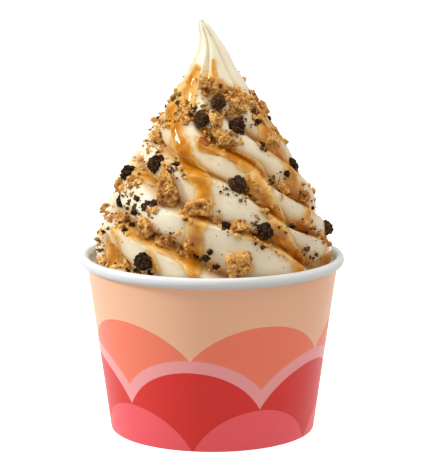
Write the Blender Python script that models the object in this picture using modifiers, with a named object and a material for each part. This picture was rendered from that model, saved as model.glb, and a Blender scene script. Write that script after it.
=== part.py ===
"""Soft serve in a paper cup.

A tapered paperboard cup with a rolled rim and a recessed base is filled with vanilla soft serve, which
rises in a twisted, seven-ridged swirl to a curled peak. Biscuit chunks and chocolate cookie lumps rest in
sockets of it, and caramel and crumbs are fused to it. Sizes below are in millimetres and angles in
degrees, from the front (-Y) towards +X. The meshes are in metres, +Z up, origin in the middle of the foot.
"""

import math

import bmesh
import bpy
import numpy as np
from mathutils import Vector

MM = 0.001
GAP = 0.35  # left between any two pieces
SOCKET_GAP = 0.56  # along a piece's radii, which leaves GAP or nearly so across its slanting faces

# Paper cup, all turned about Z.
FOOT_RADIUS = 37.6
SHOULDER_RADIUS = 46.1  # outside of the wall, just under the rolled rim
RIM_RADIUS = 48.5
RIM_WIDTH = 3.1
RIM_HEIGHT = 3.9
CUP_HEIGHT = 65.5
BOARD = 0.6
SKIRT_THICKNESS = 2.2  # wall, base flange and turned-in edge, pressed together
SKIRT_HEIGHT = 5.3
FOOT_ROUNDING = 0.3
CUP_SEGMENTS = 48

# Soft serve: the pool in the cup, then the swirl.
POOL_HEIGHT = 61.0
POOL_CLEARANCE = 0.45  # to the wall, which leaves GAP where both are faceted
SWIRL_FOOT = 61.8
PEAK = 150.8
CREST_PROFILE = (  # height and radius of the ridges' crests
    (60.0, 44.2),
    (68.0, 43.2),
    (76.0, 41.2),
    (85.0, 38.2),
    (94.0, 33.8),
    (103.0, 28.6),
    (112.0, 22.8),
    (121.0, 16.8),
    (128.5, 12.1),
    (136.8, 7.2),
    (145.0, 3.5),
    (149.3, 2.1),
    (150.8, 1.1),
)
# The swirl is a rope with seven ridges, twisted as the cup was turned by hand, so the ridges are uneven.
# Each row is one ridge: its crest's angle at each of LEVELS. They follow one another round the swirl.
LEVELS = (62.0, 70.0, 76.0, 83.0, 90.0, 97.0, 104.0, 112.0, 120.0, 135.0, 150.8)
RIDGE_ANGLES = (
    (8, -31, -62, -88, -113, -139, -166, -196, -220, -246, -254),
    (57, 33, 6, -29, -47, -73, -106, -140, -164, -182, -190),
    (112, 77, 44, 27, 11, -28, -62, -97, -120, -136, -140),
    (150, 117, 92, 63, 39, 27, -3, -24, -50, -78, -82),
    (202, 168, 144, 117, 92, 67, 43, 12, -12, -24, -18),
    (262, 227, 202, 174, 148, 123, 100, 71, 49, 30, 4),
    (312, 278, 252, 222, 194, 169, 146, 119, 98, 78, 58),
)
RIDGES = len(RIDGE_ANGLES)
# Across one ridge, from its crest (0) up to the next crest (1): crisp lip, shelf, groove, then a full face.
RIDGE_SECTION = (
    (0.0, 1.0),
    (0.035, 0.80),
    (0.10, 0.36),
    (0.155, 0.08),
    (0.19, 0.0),
    (0.225, 0.10),
    (0.29, 0.36),
    (0.40, 0.62),
    (0.56, 0.82),
    (0.78, 0.95),
    (1.0, 1.0),
)
SECTION_COLUMNS = (0.0, 0.07, 0.19, 0.28, 0.42, 0.70)  # where the faceted solid has its columns
GROOVE_SHARE = 0.15  # groove depth as a share of the crest radius, plus GROOVE_LEAST
GROOVE_LEAST = 0.4
USUAL_PITCH = 51.0  # degrees between two crests
TILT = 5.0  # the level lines ride this much higher at the front and lower at the back
PEAK_LEAN = 3.9  # the peak curls this far to the left
LEAN_START = 138.0
ROW_STEP = 3.2
TIP_ROW_STEP = 1.6
TIP_ROWS_FROM = 139.0

# Biscuit chunks and cookie lumps: angle, height, size, and height over width.
BISCUIT_CHUNKS = (
    (-29, 92.3, 10.0, 1.5),
    (-10, 87.7, 7.9, 0.85),
    (-39, 80.8, 7.6, 1.0),
    (-28, 76.3, 6.2, 0.9),
    (12, 70.2, 9.4, 1.05),
    (14, 82.7, 5.4, 1.0),
    (4, 117.0, 5.7, 1.05),
    (33, 122.4, 6.4, 1.0),
    (84, 119.0, 5.2, 1.3),
    (92, 109.0, 5.0, 1.0),
    (-62, 109.5, 5.5, 1.1),
)
COOKIE_LUMPS = (
    (8, 123.2, 5.8, 1.05),
    (-12, 117.8, 5.9, 1.2),
    (25, 114.4, 6.1, 1.0),
    (-43, 102.0, 6.5, 1.1),
    (-72, 96.8, 5.8, 0.95),
    (17, 96.1, 6.2, 0.95),
    (28, 80.0, 5.6, 1.0),
    (-34, 68.9, 6.4, 1.1),
)
# Smaller bits of both, which are fused to the cream.
SMALL_BITS = (
    (3, 83.7, 3.6, 1.0),
    (12, 110.7, 4.7, 1.0),
    (-10, 128.6, 5.0, 0.9),
    (88, 95.5, 4.2, 1.0),
    (-88, 82.4, 4.0, 1.2),
    (-35, 119.2, 4.4, 1.0),
    (56, 92.2, 3.8, 1.0),
    (86, 71.6, 4.6, 0.9),
    (60, 109.5, 5.2, 1.0),
    (90, 124.0, 4.0, 1.4),
    (-79, 91.7, 4.8, 1.1),
    (71, 88.1, 4.4, 0.9),
    (-66, 80.8, 4.2, 0.9),
    (-81, 85.6, 4.2, 1.1),
    (88, 75.2, 4.8, 1.1),
    (84, 99.0, 4.0, 1.4),
)
BACK_PIECES = 7  # the unseen side carries the same mix, spaced by rule
BACK_ANGLES = (122.0, 226.0)
BACK_HEIGHTS = (74.0, 122.0)
BACK_STEP = 0.38  # of that height, from one piece to the next
BACK_SIZES = (5.0, 8.4)
PIECE_SINK = 0.30  # share of a piece's radius by which its middle stands off the cream's mean surface
CHUNK_RELIEF = 0.17
LUMP_RELIEF = 0.09
WAVES = 9
SEED = 11

# Caramel: each stream's width, then its path as (angle, height). It lies on the cream.
CARAMEL = (
    (
        5.8,
        (
            (-40, 133),
            (-50, 128.4),
            (-53, 124.5),
            (-45, 118.3),
            (-36, 112),
            (-27, 106.5),
            (-20, 101.8),
            (-10, 98.9),
            (-5, 91),
            (-8, 83.8),
            (-9, 77.5),
            (-11, 71),
            (-9, 66.5),
        ),
    ),
    (4.6, ((3, 134), (5, 130.5), (13, 128), (23, 126))),
    (
        4.8,
        (
            (-9, 109.1),
            (1, 107.3),
            (15, 105.5),
            (27, 102.1),
            (33, 97.6),
            (32, 92),
            (37, 87),
            (40, 82),
            (37, 78),
            (46, 72),
            (54, 67),
        ),
    ),
    (
        4.4,
        ((62, 113), (62, 109), (66, 105), (73, 101), (66, 97), (60, 92.5), (64, 88), (64, 83.5), (56, 79.8)),
    ),
    (3.8, ((-54, 78.3), (-40, 76.1), (-27, 73.8), (-13, 69.8))),
    (4.2, ((-61, 77), (-58, 72), (-57, 67.5))),
    (3.6, ((-55, 98.1), (-45, 95.4))),
)
# The unseen side's streams: width, angle, and the heights they run from and to.
BACK_CARAMEL = ((7.0, 118.0, 126.0, 92.0), (7.4, 160.0, 122.0, 72.0), (6.6, 206.0, 118.0, 84.0))
BACK_CARAMEL_SWAY = 9.0  # degrees to each side
BACK_CARAMEL_WAVE = 7.0  # height over which the sway's phase turns by a radian
BACK_CARAMEL_DRIFT = 0.35  # degrees for each millimetre down
CARAMEL_THICKNESS = 1.1
CARAMEL_ROOT = 1.4  # how deep its solid reaches into the cream
CARAMEL_ROW_STEP = 4.0
CRUMBS = 34
CRUMB_SIZES = (1.7, 3.2)
CRUMB_HEIGHTS = (66.0, 128.0)
CRUMB_UNEVENNESS = (0.72, 1.15)  # of a corner's distance from a crumb's middle
CRUMB_THICKEST = -45.0  # the angle where most crumbs lie
CRUMB_SPREAD = 60.0
CRUMB_LEAST = 0.35  # how many lie far from there, as a share
CRUMB_CLEARANCE = 0.9
SHORTEST_EDGE = 0.35  # of the finished cream, whose seams the Booleans fill with slivers

COLOURS = {
    "cup_paper": ((0.80, 0.33, 0.26), 0.35),
    "vanilla_cream": ((0.88, 0.82, 0.70), 0.45),
    "biscuit": ((0.56, 0.27, 0.09), 0.85),
    "chocolate_cookie": ((0.035, 0.018, 0.012), 0.80),
}


def rise(value, start, end):
    """0 before start, 1 after end, and a smooth S between them."""
    share = np.clip((value - start) / (end - start), 0.0, 1.0)
    return share * share * (3.0 - 2.0 * share)


def curve_through(xs, ys, x):
    """A smooth curve through the points (xs, ys) that never overshoots them (monotone cubic), at x."""
    xs = np.asarray(xs, float)
    ys = np.asarray(ys, float)
    step = np.diff(xs)
    slope = np.diff(ys) / step
    before = 2.0 * step[1:] + step[:-1]
    after = step[1:] + 2.0 * step[:-1]
    with np.errstate(divide="ignore", invalid="ignore"):
        mean = (before + after) / (before / slope[:-1] + after / slope[1:])
    mean = np.where(slope[:-1] * slope[1:] > 0.0, mean, 0.0)
    tangent = np.concatenate([slope[:1], mean, slope[-1:]])
    at = np.clip(np.searchsorted(xs, x, side="right") - 1, 0, len(xs) - 2)
    t = np.clip((x - xs[at]) / step[at], 0.0, 1.0)
    return (
        (2.0 * t**3 - 3.0 * t**2 + 1.0) * ys[at]
        + (t**3 - 2.0 * t**2 + t) * step[at] * tangent[at]
        + (3.0 * t**2 - 2.0 * t**3) * ys[at + 1]
        + (t**3 - t**2) * step[at] * tangent[at + 1]
    )


def tilt_at(level):
    return TILT * rise(level, SWIRL_FOOT, SWIRL_FOOT + 12.0) * (1.0 - rise(level, 106.0, 138.0))


def lean_at(height):
    """How far the axis has moved along X, as a power of the height above LEAN_START."""
    return -PEAK_LEAN * (np.clip(height - LEAN_START, 0.0, None) / (PEAK - LEAN_START)) ** 1.8


def at_cylinder(radius, turn, height):
    """Points at these radii and turns (in radians) round the swirl's leaning axis."""
    radius, turn, height = np.broadcast_arrays(radius, turn, height)
    return np.stack([radius * np.sin(turn) + lean_at(height), -radius * np.cos(turn), height], axis=-1)


def crest_angles(level):
    """The angle of every ridge's crest at a level, and of the first again after a full turn."""
    angles = np.array([curve_through(LEVELS, row, level) for row in RIDGE_ANGLES])
    return np.concatenate([angles, angles[:1] + 360.0])


def ridged_radius(height, across, pitch):
    """The crest's radius less the groove, where across runs from one crest (0) to the next (1)."""
    crest = curve_through(*zip(*CREST_PROFILE), height)
    depth = (GROOVE_SHARE * crest + GROOVE_LEAST) * np.sqrt(pitch / USUAL_PITCH)
    depth = depth * (0.4 + 0.6 * rise(height, SWIRL_FOOT - 2.0, SWIRL_FOOT + 3.0))
    return crest - depth * (1.0 - curve_through(*zip(*RIDGE_SECTION), across))


def swirl_row(level, columns):
    """The points of one level line, at the given places across each ridge."""
    crests = crest_angles(np.array(level))
    pitch = np.repeat(np.diff(crests), len(columns))
    across = np.tile(columns, RIDGES)
    angle = np.radians(np.repeat(crests[:-1], len(columns)) + pitch * across)
    height = level + tilt_at(level) * np.cos(angle)
    return at_cylinder(ridged_radius(height, across, pitch), angle, height)


def cream_radius(angle, height):
    """The swirl's radius at any angle and height, which must not lie on the peak's last few millimetres."""
    angle, height = np.broadcast_arrays(np.asarray(angle, float), np.asarray(height, float))
    level = height
    for _ in range(25):
        level = height - tilt_at(level) * np.cos(np.radians(angle))
    crests = crest_angles(level)
    turned = np.mod(angle - crests[0], 360.0) + crests[0]
    radius = np.zeros(angle.shape)
    for first, second in zip(crests[:-1], crests[1:]):
        between = (turned >= first) & (turned < second)
        across = np.clip((turned - first) / (second - first), 0.0, 1.0)
        radius = np.where(between, ridged_radius(height, across, second - first), radius)
    return radius


def mean_radius(angle, height, reach):
    """The swirl's radius averaged over a patch of this reach."""
    steps = np.linspace(-1.0, 1.0, 5) * reach
    turn = np.degrees(steps / np.maximum(cream_radius(angle, height)[..., None], 2.0))
    angles = np.asarray(angle, float)[..., None, None] + turn[..., None, :]
    heights = np.clip(np.asarray(height, float)[..., None, None] + steps[:, None], SWIRL_FOOT, PEAK - 2.0)
    return cream_radius(angles, heights).mean(axis=(-1, -2))


def outward(turn, height):
    """The outward direction of the swirl's overall cone, without its ridges."""
    below, above = (curve_through(*zip(*CREST_PROFILE), height + offset) for offset in (-3.0, 3.0))
    turn, slope = np.broadcast_arrays(turn, (below - above) / 6.0)
    direction = np.stack([np.sin(turn), -np.cos(turn), slope], axis=-1)
    return direction / np.linalg.norm(direction, axis=-1, keepdims=True)


def add_object(name, mesh, collection, material=None):
    piece = bpy.data.objects.new(name, mesh)
    collection.objects.link(piece)
    if material is not None:
        mesh.materials.append(material)
    return piece


def mesh_from(name, points, faces):
    mesh = bpy.data.meshes.new(name)
    mesh.from_pydata((np.asarray(points) * MM).tolist(), [], faces)
    mesh.update()
    return mesh


def outward_faces(mesh):
    shape = bmesh.new()
    shape.from_mesh(mesh)
    bmesh.ops.recalc_face_normals(shape, faces=shape.faces)
    shape.to_mesh(mesh)
    shape.free()
    return mesh


def band_faces(rows, count):
    """Quads between successive closed rings of count points."""
    sides = [(i, (i + 1) % count) for i in range(count)]
    starts = [row * count for row in range(rows - 1)]
    return [(low + i, low + j, low + count + j, low + count + i) for low in starts for i, j in sides]


def make_material(name):
    colour, roughness = COLOURS[name]
    material = bpy.data.materials.new(name)
    material.use_nodes = True
    shader = material.node_tree.nodes["Principled BSDF"]
    shader.inputs["Base Color"].default_value = (*colour, 1.0)
    shader.inputs["Roughness"].default_value = roughness
    shader.inputs["Metallic"].default_value = 0.0
    return material


def wall_radius(height):
    """Outside of the cup's tapered wall."""
    return FOOT_RADIUS + (SHOULDER_RADIUS - FOOT_RADIUS) * height / (CUP_HEIGHT - RIM_HEIGHT)


def turned(name, profile, collection, material):
    """A closed profile of (radius, height), running down its outer side, turned about Z."""
    points = [(radius, 0.0, height) for radius, height in profile]
    mesh = bpy.data.meshes.new(name)
    edges = [(i, (i + 1) % len(points)) for i in range(len(points))]
    mesh.from_pydata((np.array(points) * MM).tolist(), edges, [])
    piece = add_object(name, mesh, collection, material)
    screw = piece.modifiers.new("turn", "SCREW")
    screw.axis = "Z"
    screw.angle = math.tau
    screw.steps = screw.render_steps = CUP_SEGMENTS
    screw.use_merge_vertices = True
    screw.merge_threshold = 0.00001
    screw.use_smooth_shade = True
    return piece


def make_cup_wall(collection, material):
    """The wall, its rolled rim and its skirt, which stands the base clear of the table."""
    half_width, half_height = RIM_WIDTH / 2.0, RIM_HEIGHT / 2.0
    radius, height = RIM_RADIUS - half_width, CUP_HEIGHT - half_height
    roll = np.radians(np.linspace(200.0, -115.0, 9))
    profile = []
    for turn in roll:
        profile.append((radius + half_width * math.cos(turn), height + half_height * math.sin(turn)))
    shoulder = CUP_HEIGHT - RIM_HEIGHT - FOOT_ROUNDING
    profile += [
        (wall_radius(shoulder), shoulder),
        (wall_radius(FOOT_ROUNDING), FOOT_ROUNDING),
        (FOOT_RADIUS - FOOT_ROUNDING, 0.0),
        (FOOT_RADIUS - SKIRT_THICKNESS + FOOT_ROUNDING, 0.0),
        (wall_radius(FOOT_ROUNDING) - SKIRT_THICKNESS, FOOT_ROUNDING),
        (wall_radius(SKIRT_HEIGHT) - SKIRT_THICKNESS, SKIRT_HEIGHT),
        (wall_radius(SKIRT_HEIGHT) - BOARD, SKIRT_HEIGHT),
        (wall_radius(shoulder) - BOARD, shoulder),
    ]
    return turned("cup_wall", profile, collection, material)


def make_cup_base(collection, material):
    """The base, a plain disc of board just above the skirt."""
    bottom = SKIRT_HEIGHT + GAP
    shape = bmesh.new()
    bmesh.ops.create_cone(
        shape,
        cap_ends=True,
        segments=CUP_SEGMENTS,
        radius1=(wall_radius(bottom) - BOARD - GAP) * MM,
        radius2=(wall_radius(bottom + BOARD) - BOARD - GAP) * MM,
        depth=BOARD * MM,
    )
    bmesh.ops.translate(shape, verts=shape.verts, vec=(0.0, 0.0, (bottom + BOARD / 2.0) * MM))
    mesh = bpy.data.meshes.new("cup_base")
    shape.to_mesh(mesh)
    shape.free()
    return add_object("cup_base", mesh, collection, material)


def make_soft_serve(collection, material):
    """The pool, whose rings share the swirl's columns, and the swirl, closed below and at the peak."""
    columns = np.array(SECTION_COLUMNS)
    levels = np.concatenate(
        [
            np.arange(SWIRL_FOOT, TIP_ROWS_FROM, ROW_STEP),
            np.linspace(TIP_ROWS_FROM, PEAK, round((PEAK - TIP_ROWS_FROM) / TIP_ROW_STEP)),
        ]
    )
    rows = [swirl_row(level, columns) for level in levels]
    foot_turn = np.arctan2(rows[0][:, 0], -rows[0][:, 1])
    pool_bottom = SKIRT_HEIGHT + BOARD + 2.0 * GAP
    for height in (POOL_HEIGHT, pool_bottom):
        radius = wall_radius(height) - BOARD - POOL_CLEARANCE
        ring = [radius * np.sin(foot_turn), -radius * np.cos(foot_turn), np.full(foot_turn.shape, height)]
        rows.insert(0, np.stack(ring, axis=-1))
    count = len(foot_turn)
    points = np.concatenate([*rows, [[0.0, 0.0, pool_bottom]], [[lean_at(PEAK), 0.0, PEAK + 0.5]]])
    floor, tip = len(points) - 2, len(points) - 1
    faces = band_faces(len(rows), count)
    last = (len(rows) - 1) * count
    faces += [(floor, (i + 1) % count, i) for i in range(count)]
    faces += [(last + i, last + (i + 1) % count, tip) for i in range(count)]
    mesh = outward_faces(mesh_from("soft_serve", points, faces))
    return add_object("soft_serve", mesh, collection, material)


def lumpy(directions, seed, relief):
    """A rough ball's radius by direction: 1 plus seeded plane waves of two scales."""
    draw = np.random.default_rng(seed)
    ways = draw.normal(size=(WAVES, 3))
    ways *= (draw.uniform(1.6, 4.6, WAVES) / np.linalg.norm(ways, axis=1))[:, None]
    phases = draw.uniform(0.0, math.tau, WAVES)
    waves = np.sin(directions @ ways.T + phases)
    return 1.0 + relief * waves.sum(axis=1) / math.sqrt(WAVES / 2.0)


def piece_frame(angle, height, size):
    """A piece's middle, and its axes: along the cream, up the cream, outward."""
    stand_off = PIECE_SINK * size / 2.0
    turn = math.radians(angle)
    middle = at_cylinder(mean_radius(angle, height, 0.4 * size) + stand_off, turn, height)
    out = outward(turn, height)
    along = np.array([math.cos(turn), math.sin(turn), 0.0])
    return middle, np.stack([along, np.cross(out, along), out])


def piece_mesh(name, spot, seed, relief, grown=0.0):
    """One chunk or lump, grown by a margin where it is to cut its own socket."""
    angle, height, size, tallness = spot
    middle, axes = piece_frame(angle, height, size)
    shape = bmesh.new()
    bmesh.ops.create_icosphere(shape, subdivisions=2, radius=1.0)
    directions = np.array([vertex.co.normalized() for vertex in shape.verts])
    half_sides = size / 2.0 * np.array([1.0, tallness, 0.88]) / math.sqrt(tallness)
    local = directions * lumpy(directions, seed, relief)[:, None] * half_sides
    local *= 1.0 + grown / np.linalg.norm(local, axis=1, keepdims=True)
    for vertex, point in zip(shape.verts, (middle + local @ axes) * MM):
        vertex.co = Vector(point)
    mesh = bpy.data.meshes.new(name)
    shape.to_mesh(mesh)
    shape.free()
    return mesh


def back_spots(draw):
    """The unseen side's pieces: even steps round it, heights that step by BACK_STEP, and seeded sizes."""
    angles = np.linspace(*BACK_ANGLES, BACK_PIECES)
    low, high = BACK_HEIGHTS
    heights = low + (high - low) * np.mod(0.25 + BACK_STEP * np.arange(BACK_PIECES), 1.0)
    sizes = draw.uniform(*BACK_SIZES, BACK_PIECES)
    return [(angle, height, size, 1.0) for angle, height, size in zip(angles, heights, sizes)]


def caramel_mesh(name, width, path):
    """A ribbon that follows the cream: rows across the path, rounded on top and rooted in the cream."""
    path = np.array(path, float)
    radii = mean_radius(path[:, 0], path[:, 1], width / 4.0)
    step = np.hypot(np.radians(np.diff(path[:, 0])) * (radii[1:] + radii[:-1]) / 2.0, np.diff(path[:, 1]))
    length = np.concatenate([[0.0], np.cumsum(step)])
    at = np.linspace(0.0, length[-1], max(3, round(length[-1] / CARAMEL_ROW_STEP) + 1))
    angle, height = (curve_through(length, path[:, i], at) for i in range(2))
    radius = mean_radius(angle, height, width / 4.0)
    run = np.stack([np.radians(np.gradient(angle, at)) * radius, np.gradient(height, at)], axis=-1)
    run /= np.linalg.norm(run, axis=1, keepdims=True)
    taper = np.sqrt(np.clip(np.minimum(at, length[-1] - at) / (0.5 * width) + 0.12, 0.0, 1.0))
    # Across the ribbon and back underneath: share of the half width, and height above the cream.
    section = [(-1.0, 0.05), (-0.6, 0.85), (0.0, 1.0), (0.6, 0.85), (1.0, 0.05)]
    section = [(side, lift * CARAMEL_THICKNESS) for side, lift in section]
    section += [(0.7, -CARAMEL_ROOT), (0.0, -CARAMEL_ROOT), (-0.7, -CARAMEL_ROOT)]
    rings = []
    for side, lift in section:
        aside = side * width / 2.0 * taper
        to_angle = angle + np.degrees(-run[:, 1] * aside / radius)
        to_height = np.clip(height + run[:, 0] * aside, SWIRL_FOOT + 0.6, PEAK - 4.0)
        turn = np.radians(to_angle)
        on_cream = at_cylinder(mean_radius(to_angle, to_height, 0.7), turn, to_height)
        rings.append(on_cream + outward(turn, to_height) * lift)
    points = np.stack(rings, axis=1).reshape(-1, 3)
    count = len(section)
    faces = band_faces(len(at), count)
    faces += [tuple(range(count)), tuple(range(len(points) - 1, len(points) - 1 - count, -1))]
    return outward_faces(mesh_from(name, points, faces))


def back_caramel():
    """Streams down the unseen side, swaying as they cross the ridges."""
    for width, angle, top, bottom in BACK_CARAMEL:
        heights = np.linspace(top, bottom, 8)
        fallen = top - heights
        sway = BACK_CARAMEL_DRIFT * fallen - BACK_CARAMEL_SWAY * np.sin(fallen / BACK_CARAMEL_WAVE)
        yield width, np.stack([angle + sway, heights], axis=-1)


def crumb_mesh(name, middle, size, draw):
    """A crumb: an icosahedron with uneven corners."""
    shape = bmesh.new()
    bmesh.ops.create_icosphere(shape, subdivisions=1, radius=size / 2.0)
    for vertex in shape.verts:
        vertex.co = (vertex.co * draw.uniform(*CRUMB_UNEVENNESS) + Vector(middle)) * MM
    mesh = bpy.data.meshes.new(name)
    shape.to_mesh(mesh)
    shape.free()
    return mesh


def crumb_spots(draw, taken):
    """Seeded places, thickest on the left and near the top, clear of the pieces and of one another."""
    found = []
    taken = list(taken)
    while len(found) < CRUMBS:
        angle = draw.uniform(-180.0, 180.0)
        height = draw.uniform(*CRUMB_HEIGHTS)
        size = draw.uniform(*CRUMB_SIZES)
        off_thickest = (angle - CRUMB_THICKEST) / CRUMB_SPREAD
        if draw.uniform() > CRUMB_LEAST + (1.0 - CRUMB_LEAST) * math.exp(-(off_thickest**2)):
            continue
        radius = mean_radius(angle, height, 0.5 * size) + 0.1 * size
        middle = at_cylinder(radius, math.radians(angle), height)
        room = size / 2.0 + CRUMB_CLEARANCE
        if all(np.linalg.norm(middle - place) > reach + room for place, reach in taken):
            found.append((middle, size))
            taken.append((middle, size / 2.0))
    return found


def apply_boolean(piece, operation, bits):
    """Joins a collection's objects to the piece, or cuts them from it, then removes them."""
    boolean = piece.modifiers.new(operation.lower(), "BOOLEAN")
    boolean.operand_type = "COLLECTION"
    boolean.collection = bits
    boolean.operation = operation
    bpy.context.view_layer.update()
    graph = bpy.context.evaluated_depsgraph_get()
    result = bpy.data.meshes.new_from_object(piece.evaluated_get(graph))
    piece.modifiers.remove(boolean)
    piece.data = result
    for bit in list(bits.objects):
        bpy.data.objects.remove(bit)
    bpy.data.collections.remove(bits)


def face_normal(points, ends):
    a, b, c = (points[end] for end in ends)
    return (b - a).cross(c - a)


def part_doubled_edges(points, triangles):
    """Splits each diagonal that two neighbours share by chance, so that no edge has four triangles."""
    doubled = True
    while doubled:
        beside = {}
        for name, ends in triangles.items():
            for i in range(3):
                beside.setdefault((ends[i - 1], ends[i]), []).append(name)
        doubled = [edge for edge, names in beside.items() if len(names) > 1 and edge[0] < edge[1]]
        for a, b in doubled[:1]:
            first = beside[a, b][0]
            way = face_normal(points, triangles[first])
            likeness = [way.dot(face_normal(points, triangles[name]).normalized()) for name in beside[b, a]]
            second = beside[b, a][likeness.index(max(likeness))]
            points.append(points[a].lerp(points[b], 1.0 / (1.0 + len(beside[a, b]))))
            for name in (first, second):
                ends = triangles[name]
                triangles[name] = [len(points) - 1 if end == a else end for end in ends]
                triangles[max(triangles) + 1] = [len(points) - 1 if end == b else end for end in ends]


def drop_slivers(mesh, shortest):
    """Collapses the short edges that Booleans leave, wherever the surface stays closed and unfolded."""
    shape = bmesh.new()
    shape.from_mesh(mesh)
    bmesh.ops.triangulate(shape, faces=shape.faces)
    points = [vertex.co.copy() for vertex in shape.verts]
    triangles = {face.index: [vertex.index for vertex in face.verts] for face in shape.faces}
    shape.free()
    part_doubled_edges(points, triangles)
    around = [set() for _ in points]
    for name, ends in triangles.items():
        for end in ends:
            around[end].add(name)

    def ring(centre):
        return {end for name in around[centre] for end in triangles[name]}

    def folds(kept, dropped, middle):
        """Whether moving both ends of an edge to its middle turns a face that stays over."""
        for name in around[kept] ^ around[dropped]:
            before = face_normal(points, triangles[name])
            a, b, c = (middle if end in (kept, dropped) else points[end] for end in triangles[name])
            after = (b - a).cross(c - a)
            if before.dot(after) <= 0.2 * before.length * after.length:
                return True
        return False

    collapsed = True
    while collapsed:
        collapsed = False
        edges = {tuple(sorted((ends[i], ends[i - 1]))) for ends in triangles.values() for i in range(3)}
        for _, kept, dropped in sorted(((points[a] - points[b]).length, a, b) for a, b in edges):
            shared = around[kept] & around[dropped]
            middle = (points[kept] + points[dropped]) / 2.0
            if (points[kept] - points[dropped]).length >= shortest or len(shared) != 2:
                continue
            if len(ring(kept) & ring(dropped)) != 4 or folds(kept, dropped, middle):
                continue
            for name in shared:
                for end in triangles.pop(name):
                    around[end].discard(name)
            for name in around[dropped]:
                triangles[name][triangles[name].index(dropped)] = kept
            around[kept] |= around[dropped]
            around[dropped] = set()
            points[kept] = middle
            collapsed = True
    used = sorted({end for ends in triangles.values() for end in ends})
    place = {end: i for i, end in enumerate(used)}
    faces = [[place[end] for end in ends] for ends in triangles.values()]
    mesh.clear_geometry()
    mesh.from_pydata([points[end] for end in used], [], faces)
    mesh.update()


def keep_largest_body(mesh):
    """Drops the loose scraps that a cut leaves."""
    shape = bmesh.new()
    shape.from_mesh(mesh)
    left = set(shape.verts)
    bodies = []
    while left:
        body, edge = set(), [left.pop()]
        while edge:
            vertex = edge.pop()
            body.add(vertex)
            near = {other.other_vert(vertex) for other in vertex.link_edges} & left
            left -= near
            edge.extend(near)
        bodies.append(body)
    bodies.sort(key=len)
    for scrap in bodies[:-1]:
        bmesh.ops.delete(shape, geom=list(scrap), context="VERTS")
    shape.to_mesh(mesh)
    shape.free()


def helper_collection(scene, name):
    collection = bpy.data.collections.new(name)
    scene.collection.children.link(collection)
    return collection


def main():
    for old in list(bpy.data.objects):
        bpy.data.objects.remove(old)
    scene = bpy.context.scene
    parts = helper_collection(scene, "soft_serve_cup")
    fused = helper_collection(scene, "fused_toppings")
    sockets = helper_collection(scene, "sockets")
    materials = {name: make_material(name) for name in COLOURS}
    draw = np.random.default_rng(SEED)

    make_cup_wall(parts, materials["cup_paper"])
    make_cup_base(parts, materials["cup_paper"])
    cream = make_soft_serve(parts, materials["vanilla_cream"])

    spots = [("biscuit_chunk", spot) for spot in BISCUIT_CHUNKS]
    spots += [("cookie_lump", spot) for spot in COOKIE_LUMPS]
    for number, spot in enumerate(back_spots(draw)):
        spots.append(("cookie_lump" if number % 3 == 1 else "biscuit_chunk", spot))
    made = {"biscuit_chunk": 0, "cookie_lump": 0}
    finish = {"biscuit_chunk": ("biscuit", CHUNK_RELIEF), "cookie_lump": ("chocolate_cookie", LUMP_RELIEF)}
    taken = []
    for seed, (kind, spot) in enumerate(spots):
        made[kind] += 1
        name = f"{kind}_{made[kind]:02d}"
        material, relief = finish[kind]
        add_object(name, piece_mesh(name, spot, seed, relief), parts, materials[material])
        add_object(f"{name}_socket", piece_mesh(f"{name}_socket", spot, seed, relief, SOCKET_GAP), sockets)
        taken.append((piece_frame(*spot[:3])[0], 0.6 * spot[2] * max(1.0, spot[3])))

    streams = [*CARAMEL, *back_caramel()]
    for number, (width, path) in enumerate(streams):
        add_object(f"caramel_{number}", caramel_mesh(f"caramel_{number}", width, path), fused)
    for seed, spot in enumerate(SMALL_BITS, len(spots)):
        name = f"small_bit_{seed}"
        add_object(name, piece_mesh(name, spot, seed, LUMP_RELIEF), fused)
    for number, (middle, size) in enumerate(crumb_spots(draw, taken)):
        add_object(f"crumb_{number}", crumb_mesh(f"crumb_{number}", middle, size, draw), fused)

    apply_boolean(cream, "UNION", fused)
    apply_boolean(cream, "DIFFERENCE", sockets)
    keep_largest_body(cream.data)
    drop_slivers(cream.data, SHORTEST_EDGE * MM)
    for piece in parts.objects:
        piece.data.shade_smooth()
        piece.data.set_sharp_from_angle(angle=math.radians(35.0))


main()
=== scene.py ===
"""The looks of a soft serve in a paper cup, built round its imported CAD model.

Lengths in the functions are in millimetres and angles in degrees, from the front (-Y) towards +X, unless
a name says otherwise. Meshes, properties and the scene are in metres, +Z up.
"""

import functools
import math

import bpy
import numpy as np
from bpy.props import FloatProperty, FloatVectorProperty, IntProperty, PointerProperty
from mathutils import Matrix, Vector


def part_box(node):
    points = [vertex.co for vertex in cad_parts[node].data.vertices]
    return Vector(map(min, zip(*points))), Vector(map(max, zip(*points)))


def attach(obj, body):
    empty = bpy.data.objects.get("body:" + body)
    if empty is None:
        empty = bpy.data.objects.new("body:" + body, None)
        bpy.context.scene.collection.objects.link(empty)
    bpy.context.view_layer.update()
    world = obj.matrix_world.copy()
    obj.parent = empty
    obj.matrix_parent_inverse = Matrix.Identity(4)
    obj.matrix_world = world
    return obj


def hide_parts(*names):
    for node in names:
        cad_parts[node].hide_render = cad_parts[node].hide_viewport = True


bl_info = {
    "name": "Soft Serve Cup",
    "version": (1, 0, 0),
    "blender": (4, 5, 0),
    "location": "View3D > Sidebar > Soft Serve",
    "description": "Builds a printed paper cup of soft serve with caramel, biscuit and cookie",
    "category": "Add Mesh",
}

MM = 0.001

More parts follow.
